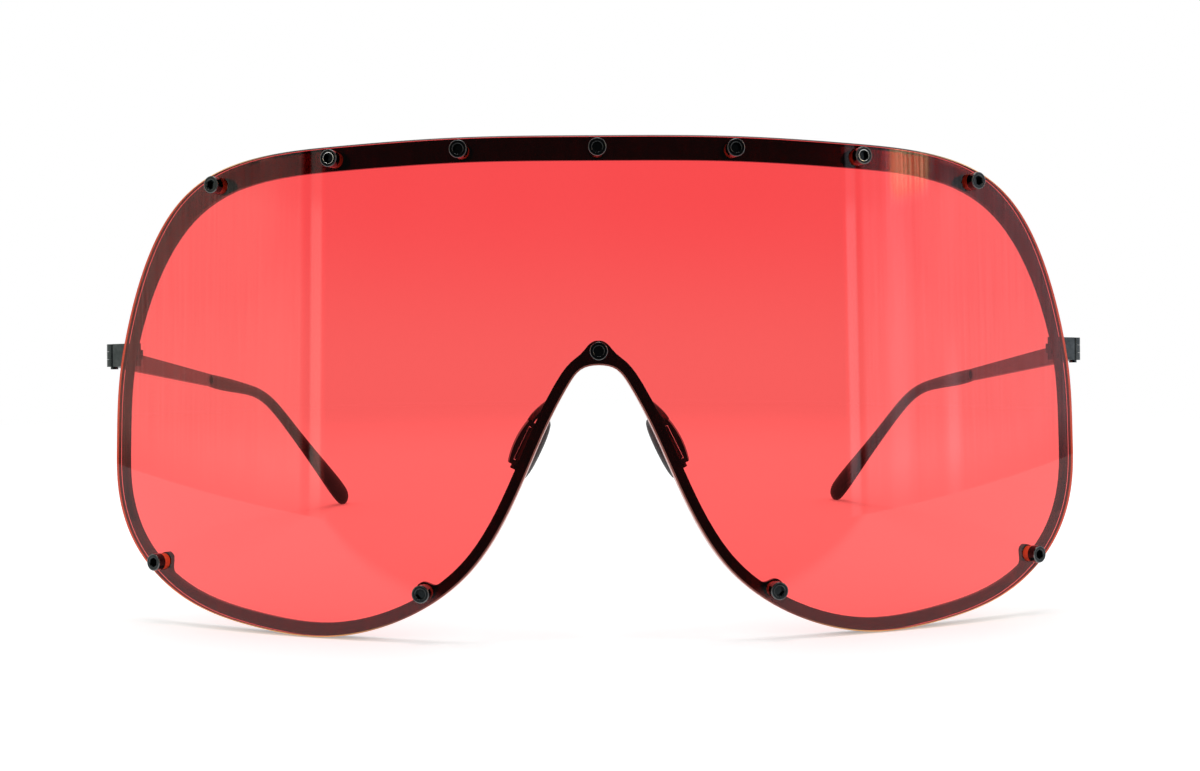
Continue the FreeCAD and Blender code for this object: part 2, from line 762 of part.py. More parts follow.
# Nose pad: x runs down along the notch, y back across the pad, z away from the nose
flare = math.radians(size("pad_flare_angle"))
splay = math.radians(size("pad_splay_angle"))
pad_down = Vector(math.sin(flare), 0, -math.cos(flare))
pad_across = Vector(math.sin(splay) * math.cos(flare), math.cos(splay), math.sin(splay) * math.sin(flare))
pad_outward = pad_down.cross(pad_across)
pad_centre = Vector(size("pad_out"), size("pad_back"), size("pad_level"))
pad_place = Placement(pad_centre, Rotation(pad_down, pad_across, pad_outward, "ZXY"))

nose_pad = new_body("nose_pad_right")
pad_sketch = sketch_on(nose_pad, "XY_Plane", "nose_pad_outline")
pad_sketch.addGeometry(
    Part.Ellipse(Vector(size("pad_drop"), 0, 0), size("pad_length") / 2.0, size("pad_width") / 2.0), False
)
pad_pad = nose_pad.newObject("PartDesign::Pad", "nose_pad_slab")
pad_pad.Profile = pad_sketch
pad_pad.SideType = "Symmetric"
bind(pad_pad, Length="pad_thickness")
doc.recompute()
pad_round = nose_pad.newObject("PartDesign::Fillet", "nose_pad_round")
rims = [
    f"Edge{i}" for i, edge in enumerate(pad_pad.Shape.Edges, start=1)
    if edge.isClosed() and abs(edge.BoundBox.ZLength) < size("seat_clearance")
]
pad_round.Base = (pad_pad, rims)
bind(pad_round, Radius="pad_edge_round")
doc.recompute()
insert_fit = size("seat_clearance")
insert_half = (size("insert_length") / 2.0, size("insert_width") / 2.0)
cut_from_top(
    nose_pad, "nose_pad_recess",
    [(a * (insert_half[0] + insert_fit), b * (insert_half[1] + insert_fit))
     for a, b in ((-1, -1), (1, -1), (1, 1), (-1, 1))],
    level="pad_thickness / 2", depth="insert_thickness",
)
keep(nose_pad, "nose_pad_right").Placement = pad_place
doc.recompute()

pad_back_face = size("pad_thickness") / 2.0
pivot = pad_back_face + size("pad_pivot_height")
tube_half = size("lug_tube_length") / 2.0
pad_axis = Vector(1, 0, 0)
insert_parts = [
    block(
        "insert_plate", Vector(-insert_half[0], -insert_half[1], pad_back_face - size("insert_thickness")),
        x="insert_length", y="insert_width", z="insert_thickness",
    ),
    block(
        "insert_neck", Vector(-tube_half, -size("insert_neck_width") / 2.0, pad_back_face),
        x="lug_tube_length", y="insert_neck_width", z="pad_pivot_height",
    ),
    cylinder(
        "insert_tube", Vector(-tube_half, 0, pivot), pad_axis, radius="lug_tube_radius", height="lug_tube_length",
    ),
]
insert_bore = cylinder(
    "insert_bore", Vector(-tube_half - overrun, 0, pivot), pad_axis,
    radius="pad_screw_diameter / 2 + running_clearance", height="lug_tube_length + 2 * overrun",
)
pad_insert = keep(less("pad_insert_right", fused("insert_body", insert_parts), [insert_bore]), "pad_insert_right")
pad_insert.Placement = pad_place

cheek_in = tube_half + size("bracket_cheek_gap")
cheek_out = cheek_in + size("bracket_cheek")
base_low = pivot + size("lug_tube_radius") + size("bracket_base_gap")
bracket_round = size("bracket_round")
full_bracket = "lug_tube_length + 2 * bracket_cheek_gap + 2 * bracket_cheek"
base_end = base_low + size("bracket_base_thickness")
bracket_base = new_body("bracket_base")
base_sketch = sketch_on(bracket_base, "XZ_Plane", "bracket_base_side")
base_corners = [
    Vector(-cheek_out, base_end, 0), Vector(-cheek_out, base_low, 0),
    Vector(cheek_out, base_low, 0), Vector(cheek_out, base_end, 0),
]
for start, end in zip(base_corners, base_corners[1:]):
    base_sketch.addGeometry(Part.LineSegment(start, end), False)
base_crown = Vector(0, base_end + size("bracket_bow"), 0)
base_sketch.addGeometry(Part.Arc(base_corners[-1], base_crown, base_corners[0]), False)
base_pad = bracket_base.newObject("PartDesign::Pad", "bracket_base_pad")
base_pad.Profile = base_sketch
base_pad.SideType = "Symmetric"
bind(base_pad, Length="2 * bracket_round")
doc.recompute()
bracket_parts = [bracket_base]
for name, low in (("upper", -cheek_out), ("lower", cheek_in)):
    bracket_parts.append(
        cylinder(f"bracket_eye_{name}", Vector(low, 0, pivot), pad_axis, radius="bracket_round", height="bracket_cheek")
    )
    bracket_parts.append(
        block(
            f"bracket_cheek_{name}", Vector(low, -bracket_round, pivot),
            x="bracket_cheek", y="2 * bracket_round", z="lug_tube_radius + bracket_base_gap",
        )
    )
bracket_bore = cylinder(
    "bracket_bore", Vector(-cheek_out - overrun, 0, pivot), pad_axis,
    radius="pad_screw_diameter / 2 + seat_clearance", height=full_bracket + " + 2 * overrun",
)
pad_bracket = keep(less("pad_bracket_right", fused("bracket_body", bracket_parts), [bracket_bore]), "pad_bracket_right")
pad_bracket.Placement = pad_place

pad_shank = size("pad_screw_diameter") / 2.0
pad_head = size("pad_screw_head_diameter") / 2.0
pad_head_top = cheek_out + size("pad_screw_head_height")
pad_screw_end = size("pad_screw_sink") - cheek_out
pad_screw = turned_screw("pad_screw_right", [
    (0, pad_screw_end), (pad_shank, pad_screw_end), (pad_shank, cheek_out),
    (pad_head, cheek_out), (pad_head, pad_head_top), (0, pad_head_top),
])
cut_from_top(
    pad_screw, "pad_screw_slot", slot_corners(pad_head + overrun, slot_half),
    level=f"({full_bracket}) / 2 + pad_screw_head_height", depth="slot_depth",
)
along_pivot = Placement(Vector(0, 0, pivot), Rotation(Vector(0, 0, 1), pad_axis))
keep(pad_screw, "pad_screw_right").Placement = pad_place.multiply(along_pivot)

# Pad arm: a wire from the rim's rear face to the bracket's upper end
root_distance = half_length * PAD_ARM_SHARE
root_flat = edge_station(root_distance, size("rim_reveal") + size("band_notch") / 2.0)
root_place = rolled_place(root_flat.x, root_flat.y, rim_back)
root_back = root_place.Rotation.multVec(Vector(0, 0, -1))
arm_end = pad_place.multVec(Vector(-cheek_out, 0, base_end - size("arm_end_depth")))
arm_poles = [
    root_place.Base, root_place.Base + root_back * size("arm_lead"),
    arm_end - pad_down * size("arm_lead"), arm_end,
]
arm_curve = Part.BezierCurve()
arm_curve.setPoles(arm_poles)
arm_path = feature("pad_arm_path", arm_curve.toShape())
arm_section = doc.addObject("Part::Circle", "pad_arm_section")
bind(arm_section, Radius="arm_diameter / 2")
arm_section.Placement = Placement(root_place.Base, Rotation(Vector(0, 0, 1), root_back))
pad_arm = doc.addObject("Part::Sweep", "pad_arm_right")
pad_arm.Sections = [arm_section]
pad_arm.Spine = (arm_path, ["Edge1"])
pad_arm.Solid = True
pad_arm.Frenet = False
keep(pad_arm, "pad_arm_right")
doc.recompute()

# Stand: lean everything back until the lens and the temple tips touch one floor
lens_low_points = []
for distance in sample_distances():
    flat = edge_station(distance, 0.0)
    lens_low_points += [rolled_place(flat.x, flat.y, depth).Base for depth in (chamfer, lens_back)]
tip_low_points = []
for section in tip_sections:
    for vertex in section.Shape.discretize(SECTION_SAMPLES):
        tip_low_points.append(temple_place.multVec(vertex))


def leaned(points, lean):
    """Points once leaned back about the lens's lowest line."""
    turn = Rotation(Vector(1, 0, 0), -lean)
    return [turn.multVec(point) for point in points]


def lowest(points, lean):
    return min(point.z for point in leaned(points, lean))


low_lean = 0.0
high_lean = math.degrees(math.atan2(lens_height, size("tip_end_run")))
for _ in range(LEAN_ROUNDS):
    lean = (low_lean + high_lean) / 2.0
    if lowest(tip_low_points, lean) > lowest(lens_low_points, lean):
        low_lean = lean
    else:
        high_lean = lean
tilt = Placement(Vector(0, 0, 0), Rotation(Vector(1, 0, 0), -lean))
rear_end = max(point.y for point in leaned(tip_low_points, lean))
front_shape = lens_screws.Shape.copy()
front_shape.Placement = tilt
front_end = front_shape.BoundBox.YMin
floor = lowest(lens_low_points + tip_low_points, lean)
stand = Placement(Vector(0, -(front_end + rear_end) / 2.0, -floor), Rotation()).multiply(tilt)
for target in list(nodes.values()):
    target.Placement = stand.multiply(target.Placement)
doc.recompute()

# The left side is the right side's mirror image
for label in [name for name in nodes if name.endswith("_right")]:
    left = doc.addObject("Part::Mirroring", label.replace("_right", "_left"))
    left.Source = nodes[label]
    left.Base = Vector(0, 0, 0)
    left.Normal = Vector(1, 0, 0)
    keep(left, label.replace("_right", "_left"))
doc.recompute()

# Nothing is written unless every object and every sub-part is sound
for target in doc.Objects:
    if "Invalid" in target.State or "Error" in target.State:
        raise RuntimeError(f"{target.Label} did not build: {target.State}")
for label, target in nodes.items():
    if target.Shape.isNull() or not target.Shape.isValid():
        raise RuntimeError(f"{label} has no sound shape")

os.makedirs("parts", exist_ok=True)
for label, target in nodes.items():
    target.Shape.exportStep(f"parts/{label}.step")
    box = target.Shape.BoundBox
    print(f"{label}: {len(target.Shape.Solids)} solids, {target.Shape.Volume:.2f} mm3, {box}")
hinge_axis = stand.Rotation.multVec(up)
pad_axis_out = stand.Rotation.multVec(pad_down)
print("lean", lean)
print("hinge", stand.multVec(hinge_point), hinge_axis)
print("pad pivot", stand.multVec(pad_place.multVec(Vector(0, 0, pivot))), pad_axis_out)
print("stand", stand.Base, "half outline", half_length)
print("arm root", root_flat, "edge arc", edge_arc)
print("screws", [(round(u, 2), round(z, 2)) for u, z in screw_flats])
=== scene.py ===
"""Looks of a pair of red shield sunglasses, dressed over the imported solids."""

from __future__ import annotations

import logging
import math
from abc import ABC, abstractmethod
from collections.abc import Iterable, Sequence
from dataclasses import dataclass, field
from enum import Enum, IntEnum

import bpy
import numpy as np
from bpy.types import Material, Mesh, Node, NodeSocket, Object
from mathutils import Matrix, Vector
from mathutils.geometry import delaunay_2d_cdt


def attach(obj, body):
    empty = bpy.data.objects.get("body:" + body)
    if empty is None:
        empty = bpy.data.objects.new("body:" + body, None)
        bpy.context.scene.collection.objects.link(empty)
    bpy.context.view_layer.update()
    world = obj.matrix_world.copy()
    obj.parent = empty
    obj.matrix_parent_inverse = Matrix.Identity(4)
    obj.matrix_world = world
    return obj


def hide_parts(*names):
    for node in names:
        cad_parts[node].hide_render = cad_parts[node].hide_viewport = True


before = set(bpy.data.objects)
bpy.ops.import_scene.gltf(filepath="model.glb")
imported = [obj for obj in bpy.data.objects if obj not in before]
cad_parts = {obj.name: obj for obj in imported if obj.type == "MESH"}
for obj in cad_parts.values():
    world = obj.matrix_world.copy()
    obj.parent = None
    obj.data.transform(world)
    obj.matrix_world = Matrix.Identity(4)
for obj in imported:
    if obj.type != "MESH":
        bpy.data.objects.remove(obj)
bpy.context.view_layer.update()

MM = 0.001
Colour = tuple[float, float, float]
Flat = tuple[float, float]
Triple = tuple[float, float, float]
# Where a change starts and ends, and the level before and after it
Slope = tuple[float, float, float, float]
WHITE: Colour = (1.0, 1.0, 1.0)
EVEN: Triple = (1.0, 1.0, 1.0)
log = logging.getLogger("shield_sunglasses")


class Side(Enum):
    """One of the two mirrored sides, as the viewer sees them."""

    LEFT = "left"
    RIGHT = "right"

    @property
    def sign(self) -> float:
        """The side's direction along x."""
        return 1.0 if self is Side.RIGHT else -1.0


class Ray(Enum):
    """Outputs of the Light Path node that the finishes and the studio use."""

    CAMERA = "Is Camera Ray"
    SHADOW = "Is Shadow Ray"
    DIFFUSE = "Is Diffuse Ray"
    TRANSMISSION = "Is Transmission Ray"
    MIRRORS = "Glossy Depth"


class Layers(Enum):
    """How many finer layers a noise has, and their strength."""

    SOFT = (2.0, 0.5)
    PATCHES = (3.0, 0.5)
    THREADS = (3.0, 0.6)
    SKIN = (4.0, 0.6)
    STREAKS = (4.0, 0.7)
    DRAWN_LINES = (5.0, 0.65)


class Graph:
    """A node tree with one method that adds any node."""

    def __init__(self, tree: bpy.types.NodeTree) -> None:
        """Takes the tree to add to."""
        self.tree = tree

    def add(self, kind: str, sockets: dict[str | int, object] | None = None, **settings: object) -> Node:
        """Adds a node.

        Args:
            kind: The node's type name.
            sockets: Values or links, by socket name or place.
            settings: The node's own properties, which are set first.

        Returns:
            The new node.
        """
        node = self.tree.nodes.new(kind)
        for name, value in settings.items():
            setattr(node, name, value)
        for name, value in (sockets or {}).items():
            self.feed(node.inputs[name], value)
        return node

    def feed(self, socket: NodeSocket, value: object) -> None:
        """Links a socket to what feeds it, or sets its own value.

        Args:
            socket: The input socket.
            value: A signal, node, output socket, colour or other plain value.
        """
        if isinstance(value, Signal):
            value = value.socket
        if isinstance(value, Node):
            value = value.outputs[0]
        if isinstance(value, NodeSocket):
            self.tree.links.new(value, socket)
        else:
            socket.default_value = (*value, 1.0) if socket.type == "RGBA" else value


class Signal:
    """A number in a node tree; arithmetic on it adds Math nodes."""

    def __init__(self, graph: Graph, socket: NodeSocket) -> None:
        """Takes the tree and the output socket that gives the number."""
        self.graph = graph
        self.socket = socket

    def math(self, operation: str, *values: object) -> Signal:
        """Adds one Math node with its inputs in order."""
        node = self.graph.add("ShaderNodeMath", dict(enumerate(values)), operation=operation)
        return Signal(self.graph, node.outputs[0])

    def __add__(self, other: object) -> Signal:
        """Sum."""
        return self.math("ADD", self, other)

    __radd__ = __add__

    def __sub__(self, other: object) -> Signal:
        """Difference."""
        return self.math("SUBTRACT", self, other)

    def __rsub__(self, other: object) -> Signal:
        """Difference from a plain number."""
        return self.math("SUBTRACT", other, self)

    def __mul__(self, other: object) -> Signal:
        """Product."""
        return self.math("MULTIPLY", self, other)

    __rmul__ = __mul__

    def __abs__(self) -> Signal:
        """Size without its sign."""
        return self.math("ABSOLUTE", self)

    def most(self, other: object) -> Signal:
        """The larger of two."""
        return self.math("MAXIMUM", self, other)

    def over(self, limit: object) -> Signal:
        """1 above a limit, 0 otherwise."""
        return self.math("GREATER_THAN", self, limit)

    def ramp(self, low: float, high: float, start: float = 0.0, end: float = 1.0) -> Signal:
        """Goes smoothly from one result to another.

        Args:
            low: Up to where the first result holds.
            high: From where the second result holds.
            start: The first result.
            end: The second result.

        Returns:
            The result.
        """
        node = self.graph.add("ShaderNodeMapRange", {0: self, 1: low, 2: high, 3: start, 4: end},
                              interpolation_type="SMOOTHSTEP")
        return Signal(self.graph, node.outputs[0])

    def window(self, low: float, high: float, soft: float) -> Signal:
        """1 between two limits and 0 past them, softened on both sides of each."""
        return self.ramp(low - soft, low + soft) * (1.0 - self.ramp(high - soft, high + soft))

    def swing(self) -> Signal:
        """How far a noise is from its middle."""
        return self - 0.5


class Paint(Graph):
    """A material, lamp or world shader under construction."""

    def ray(self, *kinds: Ray) -> Signal:
        """Whether a ray is of one of some kinds.

        Args:
            kinds: Kinds of ray.

        Returns:
            1 for such a ray, 0 otherwise.
        """
        node = self.add("ShaderNodeLightPath")
        found = Signal(self, node.outputs[kinds[0].value])
        for kind in kinds[1:]:
            found = found.most(Signal(self, node.outputs[kind.value]))
        return found

    def mirrored(self) -> Signal:
        """1 for a ray that a surface has mirrored, 0 otherwise."""
        return self.ray(Ray.MIRRORS).over(0.5)

    def spot(self, scale: Triple = EVEN) -> Node:
        """Object coordinates, stretched along each axis."""
        where = self.add("ShaderNodeTexCoord").outputs["Object"]
        return self.add("ShaderNodeVectorMath", {0: where, 1: scale}, operation="MULTIPLY")

    def place(self, axis: str) -> Signal:
        """One of the object coordinates, in metres."""
        where = self.add("ShaderNodeTexCoord").outputs["Object"]
        return Signal(self, self.add("ShaderNodeSeparateXYZ", {0: where}).outputs[axis])

    def noise(self, where: object, scale: float, layers: Layers) -> Signal:
        """A soft random number of about 0 to 1.

        Args:
            where: The coordinates that it is read at.
            scale: How fine it is.
            layers: Its finer layers.

        Returns:
            The number.
        """
        detail, roughness = layers.value
        node = self.add("ShaderNodeTexNoise",
                        {"Vector": where, "Scale": scale, "Detail": detail, "Roughness": roughness})
        return Signal(self, node.outputs[0])

    def blend(self, share: object, first: object, second: object) -> NodeSocket:
        """Mixes two colours by the share of the second."""
        node = self.add("ShaderNodeMix", {0: share, 6: first, 7: second}, data_type="RGBA")
        return node.outputs[2]

    def mix(self, share: object, first: object, second: object) -> Node:
        """Mixes two shaders by the share of the second."""
        return self.add("ShaderNodeMixShader", {0: share, 1: first, 2: second})

    def glow(self, strength: object, colour: object = WHITE) -> Node:
        """Light given off."""
        return self.add("ShaderNodeEmission", {"Color": colour, "Strength": strength})

    def clear(self, colour: Colour) -> Node:
        """Clear stuff that tints what passes through it."""
        return self.add("ShaderNodeBsdfTransparent", {"Color": colour})

    def bump(self, height: object, distance: float) -> Node:
        """Tilts the normal by a height over the surface, where 1 stands for a distance in metres."""
        return self.add("ShaderNodeBump", {"Height": height, "Distance": distance})

    def body(self, **sockets: object) -> Node:
        """The main shader; its sockets are named with underscores for blanks."""
        named = {name.replace("_", " "): value for name, value in sockets.items()}
        return self.add("ShaderNodeBsdfPrincipled", named)


def new_paint(name: str) -> tuple[Paint, Material]:
    """Starts an empty material.

    Args:
        name: The material's name.

    Returns:
        The paint to add to, and its material.
    """
    material = bpy.data.materials.new(name)
    material.use_nodes = True
    material.node_tree.nodes.clear()
    return Paint(material.node_tree), material


def close_paint(paint: Paint, shader: object) -> None:
    """Ends a material in what it shows."""
    paint.add("ShaderNodeOutputMaterial", {"Surface": shader})


@dataclass(frozen=True)
class Finish(ABC):
    """A finish that pieces are dressed in."""

    name: str

    @abstractmethod
    def shader(self, paint: Paint) -> Node:
        """Adds what the finish shows to a paint."""

    def material(self) -> Material:
        """Builds the finish.

        Returns:
            Its material.
        """
        paint, material = new_paint(self.name)
        close_paint(paint, self.shader(paint))
        return material


@dataclass(frozen=True)
class ClearPlastic(Finish):
    """See-through tinted plastic that lets the lamps shine through it."""

    tint: Colour
    deep: Colour
    low: Colour
    fade: Flat
    light_flank: Flat
    roughness: float
    smear: float
    ior: float = 1.42
    light_flank_share: float = 0.62
    shadow_depth: float = 0.3
    cloud_stretch: Triple = (1.0, 1.0, 0.35)
    cloud_scale: float = 38.0
    cloud_fade: Flat = (0.3, 0.7)
    wipe_stretch: Triple = (1.0, 1.0, 0.12)
    wipe_scale: float = 260.0
    wipe_fade: Flat = (0.45, 0.8)

    def shader(self, paint: Paint) -> Node:
        """Tinted glass, which shadows and soft light pass as a thin tint.

        Args:
            paint: The paint to add to.

        Returns:
            The shader.
        """
        cloud = paint.noise(paint.spot(self.cloud_stretch), self.cloud_scale, Layers.SOFT)
        mixed = paint.blend(cloud.ramp(*self.cloud_fade), self.tint, self.deep)
        # Painted light: the tint turns paler towards the flanks and lower down, standing in for brighter
        # light seen through the lens there
        light_flank = abs(paint.place("X")).ramp(*self.light_flank) * self.light_flank_share
        below = 1.0 - paint.place("Z").ramp(*self.fade)
        tint = paint.blend(below.most(light_flank), mixed, self.low)
        wipe = paint.noise(paint.spot(self.wipe_stretch), self.wipe_scale, Layers.SKIN)
        rough = wipe.ramp(*self.wipe_fade, self.roughness, self.roughness + self.smear)
        glass = paint.body(Base_Color=tint, Roughness=rough, IOR=self.ior, Transmission_Weight=1.0)
        thin = paint.clear(tuple(c ** self.shadow_depth for c in self.low))
        return paint.mix(paint.ray(Ray.SHADOW, Ray.DIFFUSE), glass, thin)


@dataclass(frozen=True)
class CoatedMetal(Finish):
    """Dark coated metal with drawn grain, worn a little paler here and there."""

    tone: Colour
    worn: Colour
    roughness: float
    spread: float
    grain: Triple
    depth: float
    spots: float = 420.0
    line_share: float = 0.6
    line_fade: Flat = (0.35, 0.75)
    spot_fade: Flat = (0.45, 0.8)
    spot_spread_share: float = 0.5

    def shader(self, paint: Paint) -> Node:
        """Metal with its lines in colour, gloss and relief.

        Args:
            paint: The paint to add to.

        Returns:
            The shader.
        """
        lines = paint.noise(paint.spot(self.grain), 1.0, Layers.DRAWN_LINES)
        patch = paint.noise(paint.spot(), self.spots, Layers.PATCHES)
        worn_lines, worn_spots = lines.ramp(*self.line_fade), patch.ramp(*self.spot_fade)
        wear = worn_lines * self.line_share + worn_spots * (1.0 - self.line_share)
        spot_spread = self.spread * self.spot_spread_share
        rough = self.roughness + self.spread * lines.swing() + spot_spread * patch.swing()
        return paint.body(Base_Color=self.colour(paint, wear), Metallic=1.0, Roughness=rough,
                          Normal=paint.bump(lines, self.depth))

    def colour(self, paint: Paint, wear: Signal) -> NodeSocket:
        """The coat's colour, paler where it is worn."""
        return paint.blend(wear, self.tone, self.worn)


@dataclass(frozen=True, kw_only=True)
class BareLipHighlight(CoatedMetal):
    """A coated lip shown worn to bare metal on the screws between two distances from the middle line, above a
    level: a painted highlight that gives those screws their bright rings.
    """

    bare: Colour
    near: float
    far: float
    level: float
    soft: float = 0.5 * MM
    rise: float = 2.0 * MM

    def colour(self, paint: Paint, wear: Signal) -> NodeSocket:
        """The coat's colour, with bare metal laid on as a painted highlight on the chosen screws.

        Args:
            paint: The paint to add to.
            wear: How far the coat is worn.

        Returns:
            The colour.
        """
        # Painted highlight: bare metal on the lip of the screws within this band only
        lip_highlight = abs(paint.place("X")).window(self.near, self.far, self.soft)
        lip_highlight = lip_highlight * paint.place("Z").ramp(self.level, self.level + self.rise)
        return paint.blend(lip_highlight, super().colour(paint, wear), self.bare)


@dataclass(frozen=True)
class MouldedPolymer(Finish):
    """Moulded plastic or silicone with a fine skin."""

    tone: Colour
    pale: Colour
    roughness: float
    spread: float
    grain: float
    depth: float
    shine: float = 0.5
    cloud_size: float = 12.0
    cloud_fade: Flat = (0.35, 0.75)

    def shader(self, paint: Paint) -> Node:
        """Plastic with its skin in gloss and relief.

        Args:
            paint: The paint to add to.

        Returns:
            The shader.
        """
        skin = paint.noise(paint.spot(), self.grain, Layers.SKIN)
        cloud = paint.noise(paint.spot(), self.grain / self.cloud_size, Layers.SOFT)
        return paint.body(Base_Color=self.colour(paint, cloud), Specular_IOR_Level=self.shine,
                          Roughness=self.roughness + self.spread * skin.swing(),
                          Normal=paint.bump(skin, self.depth))

    def colour(self, paint: Paint, cloud: Signal) -> NodeSocket:
        """The skin's colour, a little paler in patches."""
        return paint.blend(cloud.ramp(*self.cloud_fade), self.tone, self.pale)


@dataclass(frozen=True)
class PaintedLightPatch:
    """A stretch of an edge near the middle line, above or below a level, given a colour of painted shade or
    painted highlight.
    """

    colour: Colour
    half_width: float
    low: float
    high: float
    above: bool
    soft: float = 6.0 * MM

    def share(self, paint: Paint) -> Signal:
        """Where the stretch is.

        Args:
            paint: The paint to add to.

        Returns:
            1 in the stretch, 0 away from it.
        """
        edge = self.half_width
        middle = 1.0 - abs(paint.place("X")).ramp(edge - self.soft, edge + self.soft)
        return middle * paint.place("Z").ramp(self.low, self.high, float(not self.above), float(self.above))


@dataclass(frozen=True, kw_only=True)
class GroundEdge(MouldedPolymer):
    """A ground or eased lens edge, with painted shade and painted highlights laid along some stretches."""

    # Stretches of painted shade and painted highlight
    patches: tuple[PaintedLightPatch, ...]
    passing: Colour = (0.9, 0.6, 0.55)

    def colour(self, paint: Paint, cloud: Signal) -> NodeSocket:
        """The edge's colour with each stretch's painted shade or painted highlight laid over it.

        Args:
            paint: The paint to add to.
            cloud: The noise of the pale patches.

        Returns:
            The colour.
        """
        mixed = super().colour(paint, cloud)
        for patch in self.patches:
            mixed = paint.blend(patch.share(paint), mixed, patch.colour)
        return mixed

    def shader(self, paint: Paint) -> Node:
        """Lets what the metal behind the lens mirrors come in through the edge."""
        return paint.mix(paint.mirrored(), super().shader(paint), paint.clear(self.passing))


def in_notch(colour: Colour) -> PaintedLightPatch:
    """The stretch round the nose notch, in a colour of painted shade or painted highlight."""
    return PaintedLightPatch(colour, half_width=34.0 * MM, low=42.0 * MM, high=46.0 * MM, above=False)


# Values that finishes share
GROUND = {"roughness": 0.45, "spread": 0.1, "grain": 1500.0, "depth": 3e-6}
DRAWN = {"roughness": 0.34, "spread": 0.14, "grain": (900.0, 60.0, 900.0), "depth": 4e-6}
TURNED = {"grain": (1800.0, 1800.0, 1800.0), "depth": 2e-6}
EDGE_ORANGE = {"tone": (0.90, 0.46, 0.15), "pale": (0.95, 0.56, 0.20)}

# Painted light on the lens edges: the paler stretch round the notch is a painted highlight; the darker
# stretches round the notch, along the top and at the crown are painted shade
NOTCH_PAINTED_HIGHLIGHT = in_notch((0.80, 0.42, 0.37))
NOTCH_PAINTED_SHADE = in_notch((0.22, 0.05, 0.03))
TOP_PAINTED_SHADE = PaintedLightPatch((0.19, 0.058, 0.018), half_width=80.0 * MM, low=52.0 * MM, high=58.0 * MM, above=True)
CROWN_PAINTED_SHADE = PaintedLightPatch((0.06, 0.025, 0.015), half_width=52.0 * MM, low=60.0 * MM, high=66.0 * MM, above=True)

# The low tint is painted light where it is used lower down and at the flanks; it is also the tint that
# shadows pass through
RED_LENS = ClearPlastic(
    "red_lens_clear", tint=(1.0, 0.081, 0.085), deep=(1.0, 0.076, 0.080), low=(1.0, 0.119, 0.114),
    fade=(38.0 * MM, 66.0 * MM), light_flank=(44.0 * MM, 52.0 * MM), roughness=0.0, smear=0.03)
FRONT_WALL = GroundEdge("red_lens_front_wall", **EDGE_ORANGE, **GROUND, patches=(NOTCH_PAINTED_HIGHLIGHT,))
# Painted shade: the back half of the lens edge is dark brown in place of the front's orange, for the shade
# where it meets the rim
SHADED_REAR_WALL = GroundEdge("red_lens_rear_wall_painted_shade", tone=(0.13, 0.045, 0.025), pale=(0.20, 0.07, 0.035),
                       **(GROUND | {"roughness": 0.3}), patches=(NOTCH_PAINTED_HIGHLIGHT,))
LENS_CHAMFER = GroundEdge("red_lens_chamfer", **EDGE_ORANGE, **GROUND, patches=(NOTCH_PAINTED_SHADE, CROWN_PAINTED_SHADE))
HOLE_WALL = GroundEdge("red_lens_hole_wall", tone=(0.60, 0.24, 0.07), pale=(0.70, 0.32, 0.10), **GROUND,
                       patches=(NOTCH_PAINTED_SHADE, TOP_PAINTED_SHADE))
BUSH = GroundEdge("bush_amber", tone=(0.62, 0.20, 0.06), pale=(0.75, 0.30, 0.10), roughness=0.35,
                  spread=0.1, grain=3000.0, depth=4e-6, patches=(TOP_PAINTED_SHADE,))
RIM_COAT = CoatedMetal("rim_dark_coat", tone=(0.038, 0.034, 0.033), worn=(0.095, 0.080, 0.074),
                       roughness=0.15, spread=0.12, grain=(900.0, 900.0, 30.0), depth=5e-6)
STEEL_COAT = CoatedMetal("steel_dark_coat", tone=(0.05, 0.061, 0.064), worn=(0.11, 0.126, 0.131), **DRAWN)
TEMPLE_COAT = CoatedMetal("temple_dark_coat", tone=(0.09, 0.088, 0.087), worn=(0.18, 0.176, 0.172), **DRAWN)
SCREW_BLACK = CoatedMetal("screw_black_oxide", tone=(0.026, 0.032, 0.034), worn=(0.045, 0.053, 0.055),
                          roughness=0.13, spread=0.08, **TURNED)
SCREW_EDGE = CoatedMetal("screw_worn_edge", tone=(0.11, 0.115, 0.115), worn=(0.22, 0.225, 0.22),
                         roughness=0.16, spread=0.1, **TURNED)
# Painted highlight: the pale bare lip goes only on the two upper screws about 39 mm either side, for their
# bright rings; the lip ring itself is on every screw
SCREW_LIP_HIGHLIGHT = BareLipHighlight("screw_socket_lip_highlight", tone=(0.08, 0.085, 0.085), worn=(0.16, 0.165, 0.16),
                    roughness=0.16, spread=0.1, **TURNED,
                    bare=(0.95, 0.95, 0.90), near=31.5 * MM, far=46.5 * MM, level=55.0 * MM)
TIP_BLACK = MouldedPolymer("tip_satin_black", tone=(0.010, 0.010, 0.010), pale=(0.020, 0.019, 0.019),
                           roughness=0.42, spread=0.12, grain=1600.0, depth=5e-6, shine=0.2)
PAD_SILICONE = MouldedPolymer("pad_grey_silicone", tone=(0.055, 0.056, 0.058), pale=(0.085, 0.085, 0.086),
                              roughness=0.5, spread=0.12, grain=2600.0, depth=8e-6)
INSERT_BLACK = MouldedPolymer("insert_black", tone=(0.025, 0.025, 0.025), pale=(0.04, 0.04, 0.04),
                              roughness=0.45, spread=0.1, grain=2000.0, depth=4e-6)


@dataclass(frozen=True)
class Stand:
    """How the glasses stand on the floor: the lens's own frame leaned back and shifted."""

    lean: float = math.radians(4.23246)
    back: float = -73.5861 * MM
    up: float = 0.6855 * MM

    @property
    def matrix(self) -> Matrix:
        """The lens's frame in the row frame."""
        return Matrix.Translation((0.0, self.back, self.up)) @ Matrix.Rotation(-self.lean, 4, "X")


